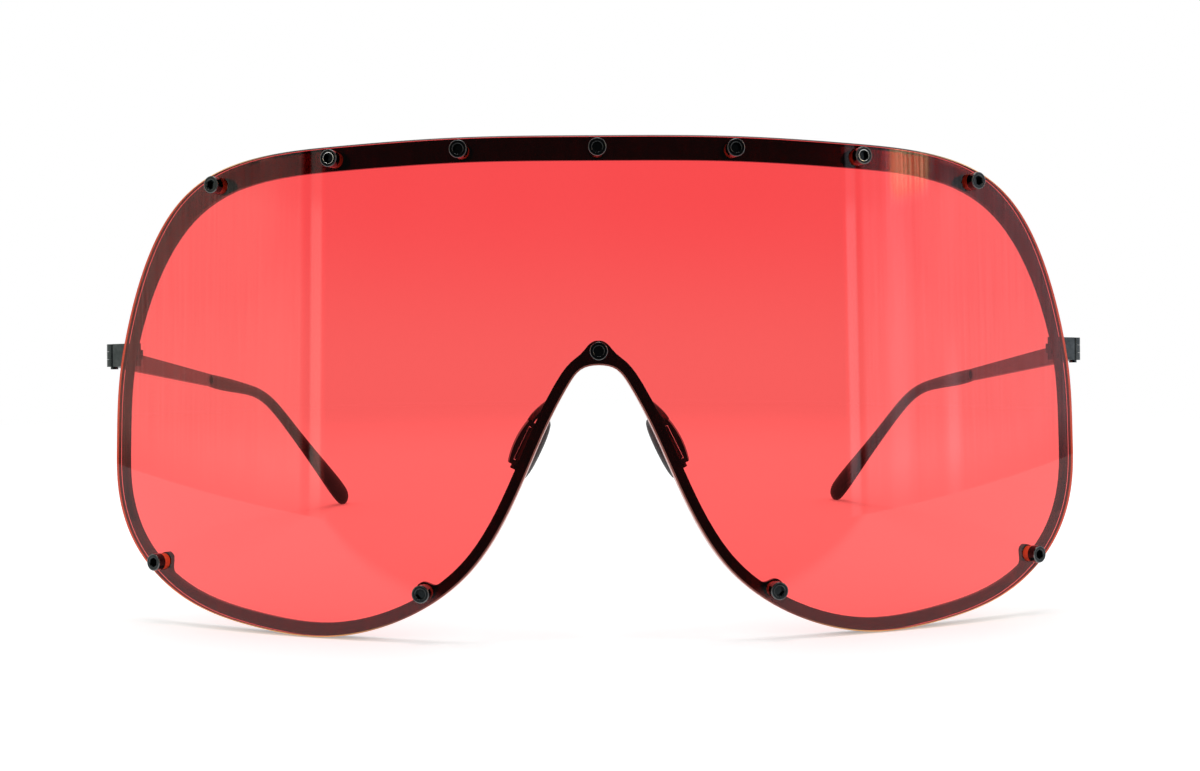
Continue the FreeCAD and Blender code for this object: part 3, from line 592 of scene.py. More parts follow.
@dataclass(frozen=True)
class Roll:
    """The upright cylinder that the flat lens pattern is bent on."""

    stand: Stand = Stand()
    radius: float = 132.5 * MM

    def out(self, arc: float) -> Vector:
        """The direction straight out of the lens at a place along its arc."""
        angle = arc / self.radius
        return (self.stand.matrix.to_3x3() @ Vector((math.sin(angle), -math.cos(angle), 0.0))).normalized()

    def along(self, arc: float) -> Vector:
        """The direction along the lens's arc."""
        angle = arc / self.radius
        return (self.stand.matrix.to_3x3() @ Vector((math.cos(angle), math.sin(angle), 0.0))).normalized()

    def place(self, arc: float, level: float, depth: float = 0.0) -> Vector:
        """A point of the flat pattern, rolled.

        Args:
            arc: Distance along the arc from the middle.
            level: Height above the lens's lowest line.
            depth: Distance behind the front face.

        Returns:
            The point in the row frame.
        """
        angle = arc / self.radius
        near = self.radius - depth
        ahead = self.radius - near * math.cos(angle)
        return self.stand.matrix @ Vector((near * math.sin(angle), ahead, level))


def clamped_spline(points: list[Flat], steps: int, fine_steps: int = 6000) -> tuple[np.ndarray, np.ndarray]:
    """A smooth line through points that leaves the middle line square at both ends.

    Args:
        points: The points to pass.
        steps: How many points to read from it, evenly along its length.
        fine_steps: How many points its length is measured over.

    Returns:
        The points read, and the unit directions there.
    """
    knots = np.array(points, float)
    gaps = np.linalg.norm(np.diff(knots, axis=0), axis=1)
    at = np.concatenate([[0.0], np.cumsum(gaps)])
    count = len(knots)
    system = np.zeros((count, count))
    wanted = np.zeros((count, 2))
    system[0, 0] = system[-1, -1] = 1.0
    wanted[0], wanted[-1] = (1.0, 0.0), (-1.0, 0.0)
    for i in range(1, count - 1):
        before, after = gaps[i - 1], gaps[i]
        come, go = knots[i] - knots[i - 1], knots[i + 1] - knots[i]
        system[i, i - 1:i + 2] = after, 2.0 * (before + after), before
        wanted[i] = 3.0 * (after * come / before + before * go / after)
    slopes = np.linalg.solve(system, wanted)
    fine = np.linspace(0.0, at[-1], fine_steps)
    span = np.clip(np.searchsorted(at, fine, side="right") - 1, 0, count - 2)
    size = gaps[span][:, None]
    t = ((fine - at[span]) / gaps[span])[:, None]
    line = ((2 * t**3 - 3 * t**2 + 1) * knots[span] + (t**3 - 2 * t**2 + t) * size * slopes[span]
            + (3 * t**2 - 2 * t**3) * knots[span + 1] + (t**3 - t**2) * size * slopes[span + 1])
    run = np.concatenate([[0.0], np.cumsum(np.linalg.norm(np.diff(line, axis=0), axis=1))])
    even = np.linspace(0.0, run[-1], steps)
    read = np.stack([np.interp(even, run, line[:, k]) for k in (0, 1)], axis=1)
    ahead = np.gradient(read, even, axis=0)
    ahead[0], ahead[-1] = (1.0, 0.0), (-1.0, 0.0)
    return read, ahead / np.linalg.norm(ahead, axis=1)[:, None]


def new_mesh(name: str, points: Iterable[Sequence[float]],
             faces: Sequence[tuple[int, ...]] = ()) -> Mesh:
    """Makes a mesh.

    Args:
        name: Its name.
        points: Its points.
        faces: Its faces, as places in the list of points.

    Returns:
        The mesh.
    """
    mesh = bpy.data.meshes.new(name)
    mesh.from_pydata([tuple(p) for p in points], [], faces)
    return mesh


def steps_round(count: int) -> list[tuple[int, int]]:
    """Each place round a closed ring, with the next one."""
    return [(i, (i + 1) % count) for i in range(count)]


def smooth(mesh: Mesh, crease: float) -> None:
    """Shades a mesh smooth, apart from edges sharper than a crease in degrees."""
    mesh.polygons.foreach_set("use_smooth", [True] * len(mesh.polygons))
    mesh.set_sharp_from_angle(angle=math.radians(crease))


def put_in_scene(data: bpy.types.ID) -> Object:
    """Makes an object, at the origin.

    Args:
        data: The mesh, camera or lamp that it shows, whose name it takes.

    Returns:
        The object.
    """
    made = bpy.data.objects.new(data.name, data)
    bpy.context.scene.collection.objects.link(made)
    return made


def hand_over(made: Object, body: str, slot: str, *nodes: str) -> None:
    """Ties a finished piece to its body and hides the solids it stands for.

    Args:
        made: The piece.
        body: The body that it rides on.
        slot: Not used.
        nodes: Solids that it replaces.
    """
    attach(made, body)
    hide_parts(*nodes)
    log.info("%s: %d faces on %s", made.name, len(made.data.polygons), body)


class LensFace(IntEnum):
    """The lens's kinds of face, by the place of their finish in its list of materials."""

    CLEAR = 0
    FRONT_WALL = 1
    # The rear wall's finish is painted shade
    SHADED_REAR_WALL = 2
    CHAMFER = 3
    HOLE_WALL = 4


@dataclass
class Shield:
    """The lens: a flat pattern with twelve holes, rolled onto its cylinder."""

    roll: Roll = Roll()
    half_arc: float = 79.8 * MM
    height: float = 72.298 * MM
    thickness: float = 1.95 * MM
    chamfer: float = 0.2 * MM
    ground_depth: float = 1.05 * MM
    notch_half_mouth: float = 41.0 * MM
    notch_height: float = 39.4 * MM
    hole_radius: float = 1.2 * MM
    grid: float = 2.4 * MM
    grid_shift_shares: Flat = (0.37, 0.41)
    grid_gap_share: float = 0.45
    weld: float = 1e-9
    crease: float = 20.0
    edge_steps: int = 330
    hole_steps: int = 40
    edge_shares: tuple[Flat, ...] = (
        (0.0, 0.0), (0.2504, 0.0), (0.4758, 0.008), (0.6583, 0.0245), (0.772, 0.0625), (0.840, 0.114),
        (0.8948, 0.187), (0.938, 0.277), (0.970, 0.374), (0.9925, 0.482), (1.0, 0.609), (0.997, 0.710),
        (0.9655, 0.803), (0.903, 0.880), (0.811, 0.941), (0.655, 0.987),
    )
    notch_shares: tuple[Flat, ...] = (
        (1.0, 0.0), (0.773, 0.045), (0.590, 0.136), (0.456, 0.253), (0.351, 0.408), (0.268, 0.583),
        (0.173, 0.802), (0.105, 0.931), (0.0585, 0.987), (0.0, 1.0),
    )
    right_screws: tuple[Flat, ...] = (
        (19.82 * MM, 70.45 * MM), (39.22 * MM, 69.82 * MM), (58.95 * MM, 66.93 * MM),
        (70.55 * MM, 10.03 * MM), (25.75 * MM, 6.74 * MM),
    )
    middle_screws: tuple[Flat, ...] = ((0.0, 70.45 * MM), (0.0, 41.40 * MM))

    def screw_places(self) -> list[Flat]:
        """Every screw's place in the flat pattern."""
        mirrored = [(-arc, level) for arc, level in self.right_screws]
        return [*self.middle_screws, *self.right_screws, *mirrored]

    def outline(self) -> tuple[np.ndarray, np.ndarray]:
        """The whole edge in the flat pattern.

        Returns:
            Its points in order, and the unit directions straight out of the edge.
        """
        knots = [(self.half_arc * a, self.height * (1.0 - b)) for a, b in self.edge_shares]
        knots += [(self.notch_half_mouth * a, self.notch_height * b) for a, b in self.notch_shares]
        line, ahead = clamped_spline(knots, self.edge_steps)
        outward = np.stack([-ahead[:, 1], ahead[:, 0]], axis=1)
        flip = np.array([-1.0, 1.0])
        points = np.concatenate([line, line[-2:0:-1] * flip])
        return points, np.concatenate([outward, outward[-2:0:-1] * flip])

    def sheet(self, edge: np.ndarray, holes: list[np.ndarray]) -> tuple[np.ndarray, list[tuple[int, ...]]]:
        """Triangles that fill the front's outline, round the holes.

        Args:
            edge: The outline's points.
            holes: Each hole's points.

        Returns:
            All the points, outline and holes first, and the triangles.
        """
        loops = [edge, *holes]
        points = [Vector(p) for loop in loops for p in loop]
        edges, start = [], 0
        for loop in loops:
            edges += [(start + i, start + j) for i, j in steps_round(len(loop))]
            start += len(loop)
        for arc in np.arange(-self.half_arc, self.half_arc, self.grid):
            for level in np.arange(0.0, self.height, self.grid):
                spot = np.array([arc, level]) + self.grid * np.array(self.grid_shift_shares)
                gap = min(np.linalg.norm(loop - spot, axis=1).min() for loop in loops)
                if gap > self.grid_gap_share * self.grid and inside(edge, spot):
                    points.append(Vector(spot))
        found, _, triangles, *_ = delaunay_2d_cdt(points, edges, [], 1, self.weld)
        ring_of = {len(edge) + i: i // self.hole_steps for i in range(len(holes) * self.hole_steps)}
        kept = []
        for triangle in triangles:
            rings = {ring_of.get(i, -1) for i in triangle}
            in_hole = len(rings) == 1 and -1 not in rings
            middle = sum((found[i] for i in triangle), Vector((0.0, 0.0))) / 3.0
            if not in_hole and inside(edge, np.array(middle)):
                kept.append(tuple(triangle))
        return np.array([tuple(p) for p in found]), kept

    def build(self) -> None:
        """Makes the lens: its two faces, the edge's chamfer and two walls, and the walls of the holes."""
        edge, outward = self.outline()
        turn = np.linspace(0.0, 2.0 * math.pi, self.hole_steps, endpoint=False)
        ring = np.stack([np.cos(turn), np.sin(turn)], axis=1)
        holes = [np.array(place) + ring * self.hole_radius for place in self.screw_places()]
        flat, triangles = self.sheet(edge - outward * self.chamfer, holes)
        count, rim = len(flat), len(edge)
        spread = flat.copy()
        spread[:rim] = edge
        points = [self.roll.place(a, b) for a, b in flat]
        points += [self.roll.place(a, b, self.thickness) for a, b in spread]
        points += [self.roll.place(a, b, self.chamfer) for a, b in edge]
        points += [self.roll.place(a, b, self.ground_depth) for a, b in edge]
        outs = [self.roll.out(a) for a, _ in flat]
        walls = [self.roll.along(a) * n[0] + self.up() * n[1] for (a, _), n in zip(edge, outward)]
        faces, normals, slots = [], [], []

        def lay(kind: LensFace, corners: tuple[int, ...], directions: list[Vector]) -> None:
            """Adds a face.

            Args:
                kind: What kind of face it is.
                corners: Its points, as places in the list of points.
                directions: The normal at each corner.
            """
            faces.append(corners)
            normals.extend(tuple(way) for way in directions)
            slots.append(kind.value)

        def lay_band(kind: LensFace, first: int, second: int, ways: list[Vector]) -> None:
            """Adds a closed band of faces between two rings of points.

            Args:
                kind: What kind of face they are.
                first: Where the first ring starts in the list of points.
                second: Where the second ring starts.
                ways: The normal at each place round the rings.
            """
            for i, j in steps_round(len(ways)):
                lay(kind, (first + i, first + j, second + j, second + i), [ways[k] for k in (i, j, j, i)])

        for a, b, c in triangles:
            lay(LensFace.CLEAR, (a, b, c), [outs[a], outs[b], outs[c]])
            lay(LensFace.CLEAR, (c + count, b + count, a + count), [-outs[c], -outs[b], -outs[a]])
        front, back = 2 * count, 2 * count + rim
        lay_band(LensFace.CHAMFER, 0, front, [(wall + out).normalized() for wall, out in zip(walls, outs)])
        lay_band(LensFace.FRONT_WALL, front, back, walls)
        lay_band(LensFace.SHADED_REAR_WALL, back, count, walls)
        for index, (arc, _) in enumerate(self.screw_places()):
            start, along = rim + index * self.hole_steps, self.roll.along(arc)
            inward = [-(along * c + self.up() * s) for c, s in ring]
            lay_band(LensFace.HOLE_WALL, start, start + count, inward)
        mesh = new_mesh("lens_red", points, faces)
        smooth(mesh, self.crease)
        mesh.polygons.foreach_set("material_index", slots)
        mesh.normals_split_custom_set(normals)
        for finish in (RED_LENS, FRONT_WALL, SHADED_REAR_WALL, LENS_CHAMFER, HOLE_WALL):
            mesh.materials.append(finish.material())
        hand_over(put_in_scene(mesh), "front", "red_lens", "lens_shield")

    def up(self) -> Vector:
        """The lens's upright direction in the row frame."""
        return self.roll.stand.matrix.to_3x3() @ Vector((0.0, 0.0, 1.0))


def inside(loop: np.ndarray, spot: np.ndarray) -> bool:
    """Whether a flat point lies inside a closed line.

    Args:
        loop: The line's points.
        spot: The point.

    Returns:
        True inside.
    """
    ahead = np.roll(loop, -1, axis=0)
    crosses = (loop[:, 1] > spot[1]) != (ahead[:, 1] > spot[1])
    rise = np.where(crosses, ahead[:, 1] - loop[:, 1], 1.0)
    reach = loop[:, 0] + (spot[1] - loop[:, 1]) / rise * (ahead[:, 0] - loop[:, 0])
    return bool(np.count_nonzero(crosses & (reach > spot[0])) % 2)


class ShapeTree(Graph):
    """A Geometry Nodes tree with named inputs, ending in plain dressed geometry."""

    def __init__(self, name: str) -> None:
        """Starts the tree with a geometry input and output.

        Args:
            name: The tree's name.
        """
        super().__init__(bpy.data.node_groups.new(name, "GeometryNodeTree"))
        face = self.tree.interface
        face.new_socket("Geometry", in_out="INPUT", socket_type="NodeSocketGeometry")
        face.new_socket("Geometry", in_out="OUTPUT", socket_type="NodeSocketGeometry")
        self.sizes: dict[str, float] = {}
        self.source = self.add("NodeGroupInput")

    def numbers(self, sizes: dict[str, float]) -> list[Signal]:
        """Adds named lengths to the tree's inputs.

        Args:
            sizes: The lengths by name.

        Returns:
            What gives each of them inside the tree.
        """
        for name, size in sizes.items():
            made = self.tree.interface.new_socket(name, in_out="INPUT", socket_type="NodeSocketFloat")
            self.sizes[made.identifier] = size
        return [Signal(self, self.source.outputs[name]) for name in sizes]

    def attribute(self, name: str, kind: str) -> Node:
        """Reads a named attribute."""
        return self.add("GeometryNodeInputNamedAttribute", {"Name": name}, data_type=kind)

    def lift(self, made: Node, level: object) -> NodeSocket:
        """Moves a shape up to a level."""
        shift = self.add("ShaderNodeCombineXYZ", {"Z": level})
        return self.add("GeometryNodeTransform", {"Geometry": made, "Translation": shift}).outputs[0]

    def bar(self, sides: int, radius: object, height: object, middle: object) -> NodeSocket:
        """An upright prism or round bar, by the height of its middle."""
        sizes = {"Vertices": sides, "Radius": radius, "Depth": height}
        return self.lift(self.add("GeometryNodeMeshCylinder", sizes), middle)

    def cone(self, sides: int, low: object, high: object, height: object,
             base: object) -> NodeSocket:
        """An upright cone piece, by its lower and upper radius and where it starts."""
        sizes = {"Vertices": sides, "Radius Top": high, "Radius Bottom": low, "Depth": height}
        return self.lift(self.add("GeometryNodeMeshCone", sizes), base)

    def cut(self, base: object, *tools: object, operation: str = "DIFFERENCE") -> NodeSocket:
        """Combines solids.

        Args:
            base: The solid to work on.
            tools: The other solids.
            operation: DIFFERENCE, UNION or INTERSECT.

        Returns:
            The result's socket.
        """
        node = self.add("GeometryNodeMeshBoolean", operation=operation, solver="EXACT")
        self.feed(node.inputs[0 if operation == "DIFFERENCE" else 1], base)
        for tool in tools:
            self.feed(node.inputs[1], tool)
        return node.outputs[0]

    def hoop(self, sides: int, radius: object, thick: object, level: object, mark: str,
             wire_sides: int = 16) -> NodeSocket:
        """A round ring of wire, marked for a finish of its own.

        Args:
            sides: How many sides.
            radius: The radius of the wire's middle line.
            thick: The wire's radius.
            level: The height of its middle line.
            mark: The name of the mark.
            wire_sides: How many sides the wire has.

        Returns:
            The mesh's socket.
        """
        path = self.add("GeometryNodeCurvePrimitiveCircle", {"Resolution": sides, "Radius": radius})
        wire = self.add("GeometryNodeCurvePrimitiveCircle", {"Resolution": wire_sides, "Radius": thick})
        made = self.add("GeometryNodeCurveToMesh", {"Curve": path, "Profile Curve": wire})
        marked = self.add("GeometryNodeStoreNamedAttribute",
                          {"Geometry": self.lift(made, level), "Name": mark, "Value": True},
                          data_type="BOOLEAN", domain="FACE")
        return marked.outputs[0]

    def join(self, *pieces: object) -> NodeSocket:
        """Keeps several pieces together as one.

        Args:
            pieces: Their mesh sockets.

        Returns:
            The result's socket.
        """
        node = self.add("GeometryNodeJoinGeometry")
        for piece in pieces:
            self.feed(node.inputs[0], piece)
        return node.outputs[0]

    def spread(self, piece: object, finish: Material, **marked: Material) -> None:
        """Puts a piece at every point, standing along the point's own direction, and ends the tree.

        Args:
            piece: The piece's mesh socket.
            finish: Its material.
            marked: The material of each marked ring, by the name of its mark.
        """
        facing = self.attribute("facing", "FLOAT_VECTOR")
        turn = self.add("FunctionNodeAlignRotationToVector", {"Vector": facing}, axis="Z")
        points = self.add("GeometryNodeMeshToPoints", {"Mesh": self.source.outputs["Geometry"]})
        placed = self.add("GeometryNodeInstanceOnPoints",
                          {"Points": points, "Instance": piece, "Rotation": turn})
        plain = self.add("GeometryNodeRealizeInstances", {"Geometry": placed})
        dressed = self.add("GeometryNodeSetMaterial", {"Geometry": plain, "Material": finish})
        for mark, ring_finish in marked.items():
            chosen = self.attribute(mark, "BOOLEAN")
            dressed = self.add("GeometryNodeSetMaterial",
                               {"Geometry": dressed, "Selection": chosen, "Material": ring_finish})
        self.add("NodeGroupOutput", {"Geometry": dressed})

    def grow(self, name: str, places: list[Vector], facing: list[Vector],
             crease: float = 28.0) -> Object:
        """Runs the tree on a set of points and keeps the result as a plain mesh.

        Args:
            name: The new piece's name.
            places: The points.
            facing: Each point's direction.
            crease: The angle in degrees from which an edge stays sharp.

        Returns:
            The piece.
        """
        seeds = new_mesh(name + "_seeds", places)
        held = seeds.attributes.new("facing", "FLOAT_VECTOR", "POINT")
        held.data.foreach_set("vector", [c for way in facing for c in way])
        carrier = put_in_scene(seeds)
        modifier = carrier.modifiers.new("grow", "NODES")
        modifier.node_group = self.tree
        for identifier, size in self.sizes.items():
            modifier[identifier] = size
        ready = carrier.evaluated_get(bpy.context.evaluated_depsgraph_get())
        mesh = bpy.data.meshes.new_from_object(ready)
        mesh.name = name
        bpy.data.objects.remove(carrier)
        smooth(mesh, crease)
        return put_in_scene(mesh)


@dataclass
class LensScrews:
    """Socket-head screws through the lens into the rim, and the bush round each shank."""

    shield: Shield
    head_radius: float = 1.3 * MM
    head_height: float = 1.294 * MM
    head_chamfer: float = 0.16 * MM
    socket_radius: float = 0.75 * MM
    socket_depth: float = 0.8 * MM
    socket_lead: float = 0.1 * MM
    edge_wire: float = 0.13 * MM
    lip_wire: float = 0.09 * MM
    shank_radius: float = 0.7 * MM
    shank_length: float = 3.0 * MM
    bush_radius: float = 1.18 * MM
    bush_bore: float = 0.8 * MM
    pocket_middle_share: float = 0.55
    socket_sides: int = 6
    sides: int = 48

    def places(self) -> tuple[list[Vector], list[Vector]]:
        """Where the screws sit.

        Returns:
            Their points on the lens's front, and the directions that they face.
        """
        flats = self.shield.screw_places()
        roll = self.shield.roll
        return [roll.place(a, b) for a, b in flats], [roll.out(a) for a, _ in flats]

    def build_screws(self) -> None:
        """Makes the twelve screws."""
        tree = ShapeTree("lens_screw")
        names = ("head_radius", "head_height", "head_chamfer", "socket_radius", "socket_depth", "socket_lead",
                 "edge_wire", "lip_wire", "shank_radius", "shank_length")
        radius, height, chamfer, socket, depth, lead, edge, lip, shank, length = tree.numbers(
            {name: getattr(self, name) for name in names})
        head = tree.bar(self.sides, radius, height, height * 0.5)
        eased = tree.cone(self.sides, radius + (height - chamfer), radius - chamfer, height, 0.0)
        head = tree.cut(head, eased, operation="INTERSECT")
        middle = (height - depth) + depth * self.pocket_middle_share
        pocket = tree.bar(self.socket_sides, socket, depth, middle)
        mouth = tree.cone(self.sides, socket, socket + lead * 2.0, lead * 2.0, height - lead)
        head = tree.cut(head, pocket, mouth)
        stem = tree.bar(self.sides, shank, length + chamfer, (chamfer - length) * 0.5)
        body = tree.cut(head, stem, operation="UNION")
        round_edge = tree.hoop(self.sides, radius - edge, edge, height - edge, "worn_edge")
        round_lip = tree.hoop(self.sides, socket + lead, lip, height - lip, "worn_lip")
        tree.spread(tree.join(body, round_edge, round_lip), SCREW_BLACK.material(),
                    worn_edge=SCREW_EDGE.material(), worn_lip=SCREW_LIP_HIGHLIGHT.material())
        hand_over(tree.grow("screws_black", *self.places()), "front", "black_screws", "lens_screws")

    def build_bushes(self) -> None:
        """Makes the twelve bushes."""
        tree = ShapeTree("lens_bush")
        radius, bore, height = tree.numbers({
            "radius": self.bush_radius, "bore": self.bush_bore, "height": self.shield.thickness,
        })
        sleeve = tree.bar(self.sides, radius, height, height * -0.5)
        room = tree.bar(self.sides, bore, height * 2.0, height * -0.5)
        tree.spread(tree.cut(sleeve, room), BUSH.material())
        hand_over(tree.grow("bushes_amber", *self.places()), "front", "bush_plastic", "lens_bushes")


@dataclass
class NosePad:
    """One silicone pad, crowned towards the nose, with a recess for its insert."""

    side: Side
    stand: Stand = Stand()
    centre: Triple = (9.35 * MM, 9.0 * MM, 27.2 * MM)
    flare: float = math.radians(26.0)
    splay: float = math.radians(10.0)
    drop: float = 0.2
    outer_rings: int = 11
    crease: float = 50.0
    steps: int = 72
    # Half length, half width and level in millimetres, and how square each ring is
    rings: tuple[tuple[float, float, float, float], ...] = (
        (0.7, 0.45, -0.65, 2.0), (2.0, 1.3, -0.645, 2.0), (3.2, 2.05, -0.61, 2.0), (4.0, 2.58, -0.54, 2.0),
        (4.52, 2.92, -0.41, 2.0), (4.81, 3.12, -0.22, 2.0), (4.9, 3.2, 0.0, 2.0), (4.84, 3.15, 0.22, 2.0),
        (4.61, 2.96, 0.43, 2.0), (4.25, 2.65, 0.58, 2.0), (3.85, 2.25, 0.64, 2.1), (3.4, 1.9, 0.645, 3.0),
        (3.04, 1.64, 0.645, 7.0), (3.02, 1.62, 0.62, 9.0), (3.02, 1.62, 0.06, 9.0), (1.5, 0.8, 0.05, 6.0),
    )

    def own_frame(self) -> Matrix:
        """The pad's own frame: x down along the notch, y across, z away from the nose.

        Returns:
            That frame in the row frame.
        """
        down = Vector((math.sin(self.flare), 0.0, -math.cos(self.flare)))
        across = Vector((math.sin(self.splay) * math.cos(self.flare), math.cos(self.splay),
                         math.sin(self.splay) * math.sin(self.flare)))
        axes = Matrix((down, across, down.cross(across))).transposed().to_4x4()
        flip = Matrix.Diagonal((self.side.sign, 1.0, 1.0, 1.0))
        return self.stand.matrix @ flip @ Matrix.Translation(self.centre) @ axes

    def build(self) -> None:
        """Makes the pad."""
        place = self.own_frame()
        turn = np.linspace(0.0, 2.0 * math.pi, self.steps, endpoint=False)
        points = [place @ (Vector(p) * MM) for p in self._local(turn)]
        faces = []
        for ring in range(len(self.rings) - 1):
            a, b = ring * self.steps, (ring + 1) * self.steps
            faces += [(a + i, a + j, b + j, b + i) for i, j in steps_round(self.steps)]
        faces.append(tuple(range(self.steps))[::-1])
        last = (len(self.rings) - 1) * self.steps
        faces.append(tuple(last + i for i in range(self.steps)))
        if self.side is Side.LEFT:
            faces = [f[::-1] for f in faces]
        mesh = new_mesh(f"pad_silicone_{self.side.value}", points, faces)
        smooth(mesh, self.crease)
        mesh.materials.append(PAD_SILICONE.material())
        made = put_in_scene(mesh)
        hand_over(made, f"pad_{self.side.value}", "pad_rubber", f"nose_pad_{self.side.value}")

    def _local(self, turn: np.ndarray) -> list[tuple[float, float, float]]:
        """The rings' points.

        Args:
            turn: The angles of each ring's points.

        Returns:
            The points, ring by ring, in millimetres in the pad's own frame.
        """
        points = []
        for index, (half_length, half_width, level, square) in enumerate(self.rings):
            shift = self.drop if index < self.outer_rings else 0.0
            for angle in turn:
                c, s = math.cos(angle), math.sin(angle)
                reach = (abs(c) ** square + abs(s) ** square) ** (-1.0 / square)
                points.append((half_length * c * reach + shift, half_width * s * reach, level))
        return points


@dataclass
class Metalwork:
    """The solids that keep their shape: rim, end pieces, hinges, temples, arms and small screws."""

    finishes: dict[str, Finish] = field(default_factory=lambda: {
        "front_frame": RIM_COAT, "end_piece": STEEL_COAT, "hinge_front": STEEL_COAT, "hinge_rear": STEEL_COAT,
        "temple": TEMPLE_COAT, "pad_arm": STEEL_COAT, "pad_bracket": STEEL_COAT, "hinge_screw": SCREW_BLACK,
        "pad_screw": SCREW_BLACK, "temple_tip": TIP_BLACK, "pad_insert": INSERT_BLACK,
    })

    def dress(self) -> None:
        """Gives each solid its finish."""
        made: dict[str, Material] = {}
        for name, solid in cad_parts.items():
            kind = name.removesuffix("_left").removesuffix("_right")
            finish = self.finishes.get(kind)
            if finish is None or solid.hide_render:
                continue
            if finish.name not in made:
                made[finish.name] = finish.material()
            solid.data.materials.clear()
            solid.data.materials.append(made[finish.name])
            log.info("%s: dressed in %s", name, finish.name)


@dataclass(frozen=True)
class CardLamp:
    """A brighter upright stripe on a card, whose light changes between two heights."""

    start: float
    end: float
    low: float
    high: float
    below: float
    above: float
    soft: float = 1.5
    brushed: bool = False

    def level(self, angle: Signal, height: Signal) -> Signal:
        """What the stripe adds to the card, by the angle round it in degrees and the height on it."""
        window = angle.window(self.start, self.end, self.soft)
        return window * height.ramp(self.low, self.high, self.below, self.above)


@dataclass
class Card:
    """A curved white card beside the camera; angles in degrees round from straight ahead of the object."""

    side: Side
    strip: Flat
    wide: Flat
    lamps: tuple[CardLamp, ...]
    tint: Colour
    warm: Colour = (1.06, 0.80, 0.46)
    warm_level: float = 2.0
    strip_soft: float = 0.3
    streak_scale: float = 1.3
    thread_scales: Flat = (3.5, 14.0)
    brush_scale: float = 2.6
    streaks: Slope = (0.25, 0.75, 0.8, 1.32)
    threads: Slope = (0.3, 0.7, 0.78, 1.24)
    brush: Slope = (0.36, 0.64, 0.3, 1.75)
    field_top: Slope = (0.165, 0.186, 0.95, 0.6)
    strip_top: Slope = (0.170, 0.188, 1.85, 0.8)
    foot: Slope = (0.0, 0.03, 0.35, 1.0)
    seed: float = 7.0
    reach: float = 118.0
    radius: float = 0.75
    height: float = 0.62
    middle: float = -0.06
    steps: int = 60

    def glow(self) -> Material:
        """A narrow strip, a dark gap and a wide streaky field with brighter stripes in it.

        Returns:
            The card's material.
        """
        paint, material = new_paint(f"card_{self.side.value}_glow")
        across, height = paint.place("X") * self.side.sign, paint.place("Z")
        angle = across.math("ARCTAN2", across, self.middle - paint.place("Y")) * math.degrees(1.0)
        line = paint.add("ShaderNodeCombineXYZ", {"X": angle, "Y": self.side.sign * self.seed})
        round_scale, up_scale = self.thread_scales
        fine = paint.add("ShaderNodeCombineXYZ",
                         {"X": angle * round_scale, "Y": height * up_scale, "Z": self.side.sign})
        light = paint.noise(line, self.streak_scale, Layers.STREAKS).ramp(*self.streaks)
        light = light * paint.noise(fine, 1.0, Layers.THREADS).ramp(*self.threads)
        light = light * height.ramp(*self.field_top)
        colour = self.tint
        for lamp in self.lamps:
            stripe = lamp.level(angle, height)
            if lamp.brushed:
                colour = paint.blend(stripe.ramp(0.0, self.warm_level), colour, self.warm)
                stripe = stripe * paint.noise(line, self.brush_scale, Layers.STREAKS).ramp(*self.brush)
            light = light + stripe
        strip = angle.window(*self.strip, self.strip_soft) * height.ramp(*self.strip_top)
        level = (strip + angle.ramp(*self.wide) * light) * height.ramp(*self.foot)
        close_paint(paint, paint.glow(level, colour))
        return material

    def build(self) -> None:
        """Stands the card up, seen only in reflections."""
        points = []
        start = self.strip[0] - self.strip_soft
        for angle in np.radians(np.linspace(start, self.reach, self.steps)) * self.side.sign:
            x, y = self.radius * math.sin(angle), self.middle - self.radius * math.cos(angle)
            points += [(x, y, 0.0), (x, y, self.height)]
        faces = [(2 * i, 2 * i + 1, 2 * i + 3, 2 * i + 2) for i in range(self.steps - 1)]
        mesh = new_mesh(f"card_{self.side.value}", points, faces)
        mesh.materials.append(self.glow())
        made = put_in_scene(mesh)
        made.visible_camera = False
        made.visible_diffuse = False
        made.visible_shadow = False


